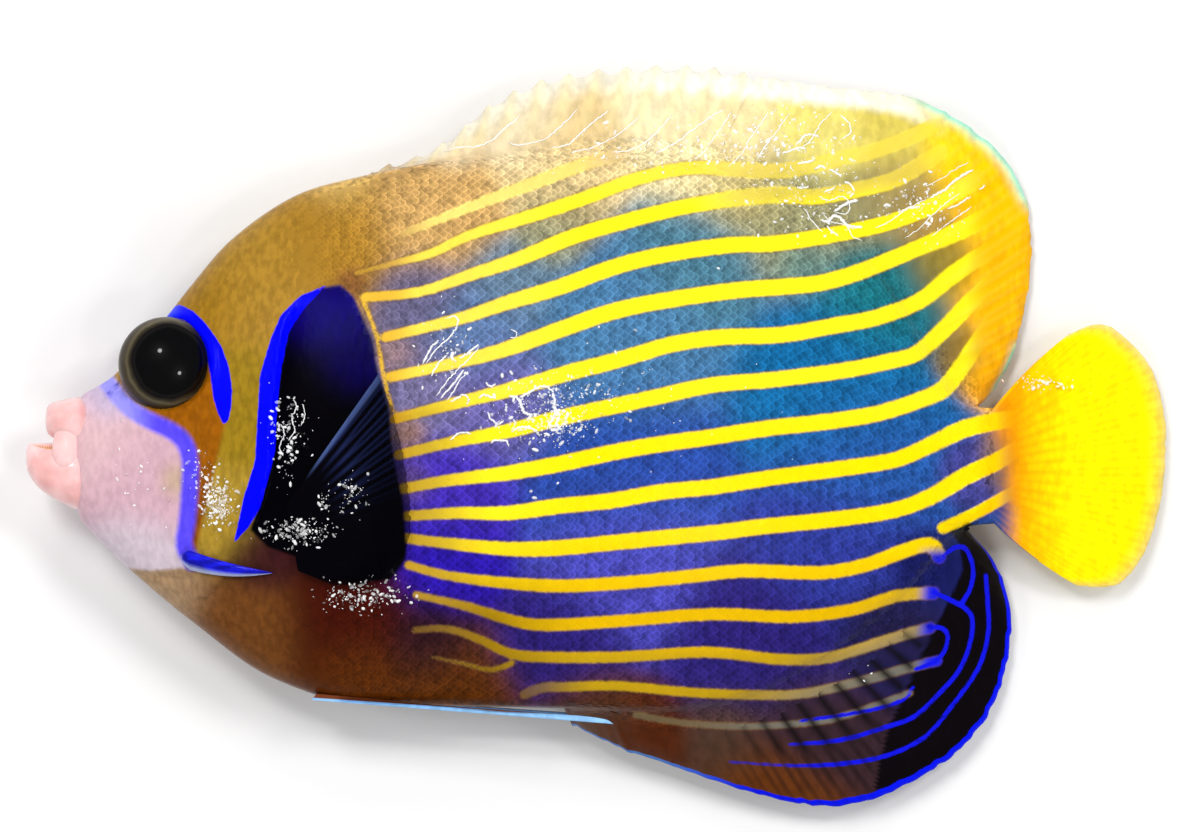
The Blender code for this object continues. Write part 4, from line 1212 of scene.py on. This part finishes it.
scale_skin = wet_skin("wet scales", mottle=0.14, shade=scale_shade, specular=0.10)
UPPER_FLANK = draped(1)
scales_on("left", 1, 7, UPPER_FLANK)
scales_on("right", -1, 11, draped(-1))

# Water left on the fish: beads where it is wettest, and threads of it along the spines, over the
# rear rays and behind the gill cover. All are low domes and ridges that lie on the scales. Their
# colour is partly painted highlight: the markings mixed toward white as painted glints.
# A thread is half its width in millimetres, then its route in pixels. A row of beads is a name,
# the middle and reach of its place in pixels, and how many there are.
WATER_SIDES, THREAD_LIFT, BEAD_LIFT, THREAD_GLINT_PAINT = 6, 0.05, 0.03, 0.85
WATER_TURNS = np.arange(WATER_SIDES) * math.pi / 3
GATHERED, SMALLEST_BEAD, BEADS_DIFFER = 0.6, 0.05, 0.20
THREADS = (
    (0.13, (443, 151), (460, 147), (476, 147), (492, 140), (506, 127), (520, 115)),
    (0.12, (508, 142), (520, 145), (543, 140), (556, 130), (567, 120), (578, 108)),
    (0.13, (550, 148), (567, 145), (578, 136), (585, 129), (598, 118), (609, 110)),
    (0.11, (571, 152), (586, 150), (599, 145), (612, 138), (623, 131), (641, 115)),
    (0.12, (613, 152), (628, 151), (641, 145), (652, 137), (660, 129), (674, 113)),
    (0.13, (655, 155), (668, 147), (679, 141), (688, 133), (697, 127), (712, 116), (725, 108)),
    (0.11, (696, 158), (706, 150), (711, 142), (722, 126), (732, 111)),
    (0.10, (728, 166), (740, 156), (749, 140), (760, 124), (769, 111)),
    (0.10, (757, 160), (764, 148), (776, 132), (791, 111)),
    (0.10, (800, 150), (812, 138), (822, 122), (834, 110)),
    (0.12, (841, 114), (850, 122), (851, 132), (843, 138)),
    (0.13, (447, 320), (455, 317), (460, 322), (456, 332), (447, 342), (436, 353), (428, 364)),
    (0.11, (481, 347), (472, 358), (462, 368), (451, 379), (444, 388), (438, 397)),
    (0.09, (512, 330), (517, 333), (517, 338), (511, 338)),
    (0.10, (470, 372), (462, 380), (455, 392), (449, 400)),
    (0.09, (876, 228), (892, 220), (910, 207), (928, 198)),
    (0.09, (905, 238), (920, 228), (934, 214), (950, 200), (962, 192)),
    (0.08, (926, 186), (942, 178), (958, 168), (972, 160)),
    (0.09, (932, 236), (948, 224), (960, 215), (974, 205)),
    (0.10, (818, 196), (830, 200), (842, 196), (850, 204), (846, 214), (834, 212)),
    (0.09, (822, 214), (832, 222), (846, 226), (852, 236), (862, 240)),
    (0.10, (804, 208), (812, 222), (822, 232)),
    (0.10, (296, 398), (300, 408), (295, 418), (298, 430), (292, 440)),
    (0.09, (284, 424), (288, 434), (283, 446), (287, 456)),
    (0.09, (306, 404), (308, 416), (304, 426)),
    (0.24, (510, 397), (518, 398), (522, 405), (525, 412), (529, 414), (534, 415)),
    (0.21, (519, 400), (526, 395), (533, 391), (541, 387), (548, 388), (554, 393)),
    (0.22, (553, 392), (555, 400), (554, 408), (555, 415), (551, 422), (547, 430)),
    (0.25, (554, 406), (559, 415), (557, 424), (562, 430)),
    (0.18, (513, 432), (519, 428), (526, 427), (533, 429), (538, 432), (540, 436)),
    (0.17, (492, 443), (496, 440), (503, 440), (508, 441), (510, 446)),
    (0.16, (452, 440), (459, 434), (466, 432), (472, 434)),
    (0.17, (452, 402), (459, 398), (466, 395), (470, 400), (468, 405)),
    (0.16, (480, 398), (486, 395), (491, 397), (497, 398)),
    (0.15, (489, 412), (493, 420), (500, 424), (505, 420)),
    (0.16, (487, 383), (492, 387), (497, 384)),
    (0.18, (480, 345), (470, 353), (461, 359)), (0.16, (466, 370), (455, 384), (442, 399)),
    (0.16, (449, 356), (440, 364), (433, 377)), (0.18, (441, 341), (432, 350), (425, 365)),
    (0.19, (782, 153), (792, 150), (800, 147), (806, 149)),
    (0.19, (796, 145), (804, 136), (812, 134), (820, 136)),
    (0.19, (798, 163), (806, 162), (814, 160)), (0.20, (815, 170), (821, 166), (826, 168)),
    (0.17, (830, 169), (836, 172), (841, 176)), (0.18, (845, 181), (851, 184), (855, 191)),
    (0.25, (834, 211), (842, 206), (850, 202), (859, 200)),
    (0.26, (820, 220), (828, 222), (833, 216), (840, 218), (846, 224), (853, 227)),
    (0.24, (846, 226), (854, 227), (862, 227)), (0.15, (797, 187), (803, 188), (809, 186)),
    (0.15, (824, 192), (830, 190), (835, 187)), (0.15, (826, 226), (832, 232), (838, 236)),
    (0.20, (930, 197), (938, 193), (946, 189), (952, 183), (960, 177), (968, 172), (976, 168)),
    (0.19, (902, 211), (908, 208), (914, 207), (921, 206)),
    (0.14, (949, 208), (957, 205), (965, 200), (973, 195)), (0.13, (982, 188), (988, 184)),
)
BEAD_PLACES = (
    ("front flank", 545, 408, 44, 26, 330), ("second row", 450, 350, 26, 30, 90),
    ("front low", 556, 424, 26, 16, 170), ("flank spray", 600, 392, 50, 26, 110),
    ("upper rear", 800, 190, 60, 44, 260), ("rear rays", 925, 205, 40, 26, 200),
    ("dorsal front", 660, 150, 90, 20, 260), ("dorsal middle", 770, 140, 70, 30, 240),
    ("gill foot", 222, 502, 13, 22, 330), ("mask front", 292, 434, 16, 34, 130),
    ("mask lower", 302, 530, 28, 11, 220), ("mask end", 368, 594, 34, 14, 220),
    ("mask side", 356, 494, 12, 16, 60), ("mask fin", 328, 502, 6, 11, 36), ("anal fold", 866, 676, 24, 8, 4),
    ("cheek", 140, 480, 34, 44, 24), ("under eye", 206, 470, 14, 20, 60),
    ("mouth", 66, 470, 8, 14, 40), ("stalk", 1040, 382, 26, 8, 70), ("flank", 640, 420, 150, 90, 30),
)


def on_top(x, y):
    """Height of the upper flank, and of the fin lying on it, at places in millimetres."""
    lying = coat_read(UPPER_FLANK[0], x, y)
    for n, (a, b) in enumerate(zip(x, y)):
        start = Vector(((a + CENTRING[0]) * MM, (b + CENTRING[1]) * MM, 0.05))
        hit = pectoral_tree.ray_cast(start, Vector((0, 0, -1)))[0]
        if hit:
            lying[n] = max(lying[n], hit.z / MM)
    return lying


def thread(draw, half, points):
    """Corners and faces of one thread of water, a thin tube that tapers toward both ends."""
    line = rounded(to_mm(points), 6)
    line = line + draw.normal(0, 0.05, line.shape)
    run = np.gradient(line, axis=0)
    run /= np.linalg.norm(run, axis=1)[:, None]
    share, count = np.linspace(0, 1, len(line)), len(line)
    wide = half * (0.6 + 0.4 * draw.uniform(0, 1, count))
    wide = wide * np.minimum(1, np.minimum(share, 1 - share) * 8 + 0.15)
    top = on_top(line[:, 0], line[:, 1]) + THREAD_LIFT
    corners, faces = [], []
    for turn in WATER_TURNS:
        side = math.cos(turn) * wide
        corners.append(np.column_stack([
            line[:, 0] - run[:, 1] * side, line[:, 1] + run[:, 0] * side, top + math.sin(turn) * wide * 0.8,
        ]))
    for n in range(WATER_SIDES):
        m = (n + 1) % WATER_SIDES
        for i in range(count - 1):
            a, b, c, d = n * count + i, n * count + i + 1, m * count + i + 1, m * count + i
            faces += [(a, b, c), (a, c, d)]
    for i in (0, count - 1):
        ends = [n * count + i for n in range(WATER_SIDES)]
        ends = ends if i else ends[::-1]
        faces += [(ends[0], ends[n + 1], ends[n]) for n in range(1, WATER_SIDES - 1)]
    return np.vstack(corners), faces


def bead(draw, x, y, size):
    """Corners and faces of one bead of water, a low dome that is longer one way."""
    turned = draw.uniform(0, math.pi)
    long = size * draw.uniform(1.0, 2.2)
    corners, faces = [], []
    for radius, rise in ((1.0, -0.12), (0.95, 0.02), (0.62, 0.6 * size)):
        for a in WATER_TURNS:
            u, v = math.cos(a) * radius * long, math.sin(a) * radius * size
            corners.append((x + u * math.cos(turned) - v * math.sin(turned),
                            y + u * math.sin(turned) + v * math.cos(turned), rise))
    corners = np.array(corners + [(x, y, 0.78 * size)])
    corners[:, 2] += on_top(np.array([x]), np.array([y]))[0] + BEAD_LIFT
    for n in range(WATER_SIDES):
        m = (n + 1) % WATER_SIDES
        for ring in (0, WATER_SIDES):
            a, b, c, d = ring + n, ring + m, ring + m + WATER_SIDES, ring + n + WATER_SIDES
            faces += [(a, b, c), (a, c, d)]
        faces.append((2 * WATER_SIDES + n, 2 * WATER_SIDES + m, 3 * WATER_SIDES))
    faces += [(0, n + 1, n) for n in range(1, WATER_SIDES - 1)]
    return corners, faces


pectoral_tree = face_tree(pectoral)
draw = np.random.default_rng(21)
# Threads get a large share of painted glint, each bead a random one: this white stands in for glints of light
# on the water.
drops = [(*thread(draw, half, points), THREAD_GLINT_PAINT) for half, *points in THREADS]
for _, bead_x, bead_y, reach_x, reach_y, number in BEAD_PLACES:
    across = draw.normal(bead_x, reach_x * GATHERED, number)
    spots = to_mm(np.column_stack([across, draw.normal(bead_y, reach_y * GATHERED, number)]))
    for (x, y), size in zip(spots, SMALLEST_BEAD + BEADS_DIFFER * draw.uniform(0, 1, number) ** 3):
        drops.append((*bead(draw, x, y, size), draw.uniform(0, 1) ** 0.8))
corners, faces, glint_paint = zip(*drops)
sizes = [len(part) for part in corners]
firsts = np.cumsum([0, *sizes[:-1]])
water_faces = np.vstack([np.array(part) + first for part, first in zip(faces, firsts)])
water_mesh = bpy.data.meshes.new("water")
water_at = (np.vstack(corners) + np.array([*CENTRING, 0.0])) * MM
water_mesh.from_pydata(water_at.tolist(), [], water_faces.tolist())
water_mesh.shade_smooth()
paint(water_mesh)
store(water_mesh, "glint_paint", np.repeat(glint_paint, sizes))


# The water's colour: the markings beneath, mixed toward white by its share of painted glint.
def water_and_glint_tone(tree, place):
    marks = node(tree, "ShaderNodeGroup", node_tree=MARKINGS)
    fill(tree, marks, {"Raggedness": 0.2})
    return mixed(tree, stored(tree, "glint_paint"), marks.outputs["Color"], (252, 253, 254))


water_mesh.materials.append(
    wet_skin("water", roughness=0.06, mottle=0.0, bump=0.0, specular=1.0, tone=water_and_glint_tone, film=False)
)
water = placed("water", water_mesh)
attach(water, "root")

# Lips of firm pink flesh: the upper lip and the lower jaw, which stands out beyond it, with a
# soft pad at each corner of the mouth and rows of bristle teeth.
UPPER_LIP = (
    (-64.4, 1.2, 2.8, 3.4), (-65.6, 1.5, 3.1, 4.3), (-66.8, 1.65, 2.95, 4.35), (-68.0, 1.7, 2.65, 4.0),
    (-69.0, 1.75, 2.35, 3.4), (-69.7, 1.8, 1.95, 2.6), (-70.05, 1.85, 1.3, 1.6), (-70.2, 1.9, 0.05, 0.05),
)
LOWER_LIP = (
    (-64.4, -5.0, 3.9, 3.4), (-65.6, -5.2, 4.5, 4.3), (-66.8, -5.1, 4.3, 4.4), (-68.4, -4.85, 3.75, 4.2),
    (-70.2, -4.35, 3.2, 3.7), (-71.4, -3.8, 2.65, 3.1), (-72.25, -3.2, 2.0, 2.2), (-72.6, -2.95, 1.0, 1.2),
    (-72.7, -2.9, 0.05, 0.05),
)
CORNER_PAD = (-67.3, -2.4, 2.2, 4.0, 2.2)
PAD_OFF_MIDDLE = 2.35


def lip_tone(tree, place):
    amount = between(tree, noise_on(tree, place, 260.0, 4.0), 0.3, 0.7)
    return mixed(tree, amount, (230, 170, 168), (244, 202, 202))


lip_flesh = wet_skin(
    "lip flesh", coat=0.5, coat_roughness=0.12, mottle=0.06, mottle_scale=500.0, bump=0.00006,
    stretch=(1.0, 1.0, 1.0), tone=lip_tone, film=False,
)
fill(lip_flesh.node_tree, lip_flesh.node_tree.nodes["Principled BSDF"], {
    "Subsurface Weight": 0.2, "Subsurface Scale": 0.0012,
})
for name, rings, solid in (
    ("upper_lip_flesh", UPPER_LIP, "upper_lip"), ("lower_jaw_flesh", LOWER_LIP, "lower_jaw"),
):
    form = bmesh.new()
    bmesh.ops.create_grid(form, x_segments=48, y_segments=64, size=1.0)
    p, q, _ = form_places(form)
    stage = (p + 1) / 2 * (len(rings) - 1)
    ring_x, ring_y, tall, wide = (curve(list(enumerate(column)), stage) for column in zip(*rings))
    turn = np.where(q > 1 - 1e-6, -math.pi, math.pi * q)
    up = np.abs(np.sin(turn)) ** 0.85 * np.sign(np.sin(turn))
    wide_way = np.abs(np.cos(turn)) ** 0.85 * np.sign(np.cos(turn))
    lip = make_piece(name, form, (ring_x, ring_y + tall * up, MIDDLE + wide * wide_way))
    lip.data.materials.append(lip_flesh)
    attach(lip, "root")
    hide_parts(solid)

for side, word in ((1, "left"), (-1, "right")):
    pad_x, pad_y, pad_long, pad_tall, pad_thick = CORNER_PAD
    form = bmesh.new()
    bmesh.ops.create_uvsphere(form, u_segments=48, v_segments=32, radius=1.0)
    gx, gy, gz = form_places(form)
    pinch = 1 - 0.12 * np.exp(-(((gy - 0.3) / 0.3) ** 2))
    pad = make_piece(
        f"mouth_corner_{word}", form,
        (pad_x + gx * pad_long * pinch + 0.15 * gy, pad_y + gy * pad_tall,
         MIDDLE + side * PAD_OFF_MIDDLE + gz * pad_thick),
    )
    pad.data.materials.append(lip_flesh)
    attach(pad, "root")

teeth_form = bmesh.new()
for mouth_x, mouth_y, long, wide, way in ((-68.6, -1.7, 3.6, 2.8, 1), (-66.4, 0.05, 3.1, 2.7, -1)):
    for turn in np.linspace(-1.45, 1.45, 44):
        root = Vector((mouth_x - long * math.cos(turn), mouth_y, MIDDLE + wide * math.sin(turn)))
        grown = bmesh.ops.create_cone(
            teeth_form, cap_ends=True, segments=6, radius1=0.13, radius2=0.03, depth=0.56,
        )["verts"]
        upright = Vector((0, way, 0)).to_track_quat("Z", "X").to_matrix()
        bmesh.ops.rotate(teeth_form, verts=grown, matrix=upright)
        bmesh.ops.translate(teeth_form, vec=root, verts=grown)


def teeth_tone(tree, place):
    return mixed(tree, noise_on(tree, place, 900.0), (190, 120, 60), (232, 190, 130))


bmesh.ops.translate(teeth_form, vec=Vector((*CENTRING, 0)), verts=teeth_form.verts)
bmesh.ops.scale(teeth_form, vec=Vector((MM, MM, MM)), verts=teeth_form.verts)
bmesh.ops.recalc_face_normals(teeth_form, faces=teeth_form.faces[:])
teeth = placed("teeth", as_mesh("teeth", teeth_form))
teeth.data.materials.append(wet_skin("teeth", mottle=0.1, tone=teeth_tone, film=False))
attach(teeth, "root")

# The eyes: flattened globes, black in the middle, with a dull olive ring and a clear film.
EYE_OFF_MIDDLE, EYE_RADIUS, EYE_DEPTH, RINGS_REACH = 5.1, 6.0, 3.4, 6.6
PUPIL_OFF = (0.55, 0.35)
EYE_RINGS = (
    (0.62, (1, 1, 2)), (0.66, (20, 18, 16)), (0.70, (8, 6, 9)), (0.76, (52, 46, 34)),
    (0.81, (92, 84, 64)), (0.86, (60, 52, 38)), (0.92, (44, 36, 28)), (0.98, (84, 74, 54)),
)


def eye_tone(tree, place):
    """Rings of colour round the pupil, by the distance from its middle in millimetres."""
    centre = [(e + c + p) * MM for e, c, p in zip(EYE_CENTRE, CENTRING, PUPIL_OFF)]
    off = node(tree, "ShaderNodeVectorMath", {0: place, 1: (*centre, 0.0)}, operation="SUBTRACT").outputs[0]
    in_mm = (1 / MM, 1 / MM, 0.0)
    flat = node(tree, "ShaderNodeVectorMath", {0: off, 1: in_mm}, operation="MULTIPLY").outputs[0]
    reach = node(tree, "ShaderNodeVectorMath", {0: flat}, operation="LENGTH").outputs["Value"]
    wave = value(tree, "MULTIPLY", value(tree, "SUBTRACT", noise_on(tree, place, 450.0), 0.5), 0.5)
    share = value(tree, "DIVIDE", value(tree, "ADD", reach, wave), RINGS_REACH)
    ramp = node(tree, "ShaderNodeValToRGB", {"Fac": share})
    stops = ramp.color_ramp.elements
    stops[0].position, stops[0].color = 0.0, (*as_light((2, 2, 3)), 1.0)
    stops[1].position, stops[1].color = EYE_RINGS[-1][0], (*as_light(EYE_RINGS[-1][1]), 1.0)
    for at, colour in EYE_RINGS[:-1]:
        stops.new(at).color = (*as_light(colour), 1.0)
    return ramp.outputs["Color"]


eye_skin = wet_skin(
    "eye", coat=0.35, coat_roughness=0.02, specular=0.08, mottle=0.05, bump=0.000005,
    tone=eye_tone, film=False,
)
for side, word in ((1, "left"), (-1, "right")):
    form = bmesh.new()
    bmesh.ops.create_uvsphere(form, u_segments=72, v_segments=44, radius=1.0)
    gx, gy, gz = form_places(form)
    eye = make_piece(
        f"eyeball_{word}", form,
        (EYE_CENTRE[0] + gx * EYE_RADIUS, EYE_CENTRE[1] + gy * EYE_RADIUS,
         MIDDLE + side * EYE_OFF_MIDDLE + gz * EYE_DEPTH),
    )
    eye.data.materials.append(eye_skin)
    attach(eye, "root")
    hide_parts(f"eye_{word}")

# The cheek spines: one strong blue spine on each side, grown from the corner of the cheek and
# tapering to a point, with fine grooves along it and a paler lower edge.
SPINE_ROOT, SPINE_TIP = (-52.6, -15.6), (-40.8, -17.5)
SPINE_WIDE, SPINE_THICK = 1.3, 0.6


def spine_tone(tree, place):
    streak = node(tree, "ShaderNodeMapping", {"Scale": (0.15, 1.0, 1.0), "Vector": place}).outputs[0]
    amount = between(tree, noise_on(tree, streak, 1500.0, 3.0), 0.35, 0.75)
    blues = mixed(tree, amount, (0, 0, 150), (20, 24, 240))
    return mixed(tree, stored(tree, "lower_edge"), blues, (150, 160, 200))


spine_skin = wet_skin("spine", coat=0.6, coat_roughness=0.08, mottle=0.1, tone=spine_tone, film=False)
for side, word in ((1, "left"), (-1, "right")):
    form = bmesh.new()
    bmesh.ops.create_grid(form, x_segments=60, y_segments=24, size=1.0)
    p, q, _ = form_places(form)
    run, turn = (p + 1) / 2, np.where(q > 1 - 1e-6, -math.pi, math.pi * q)
    size = np.sqrt(np.clip(run / 0.1, 0, 1)) * np.clip(1 - run**1.5, 0, 1) ** 0.85
    x = SPINE_ROOT[0] + (SPINE_TIP[0] - SPINE_ROOT[0]) * run
    y = SPINE_ROOT[1] + (SPINE_TIP[1] - SPINE_ROOT[1]) * run - 0.5 * np.sin(math.pi * run)
    y = y + SPINE_WIDE * size * np.sin(turn)
    lying = middle_height(x) + side * (body_half(x, share_of_height(x, y)) + 0.42)
    z = np.maximum(lying + side * SPINE_THICK * size * np.cos(turn) * (1 + 0.1 * np.cos(turn * 9)), 0.04)
    spine = make_piece(f"spine_{word}", form, (x, y, z), lower_edge=ease((-0.35 - np.sin(turn)) / 0.4))
    spine.data.materials.append(spine_skin)
    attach(spine, "root")
    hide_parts(f"cheek_spine_{word}")
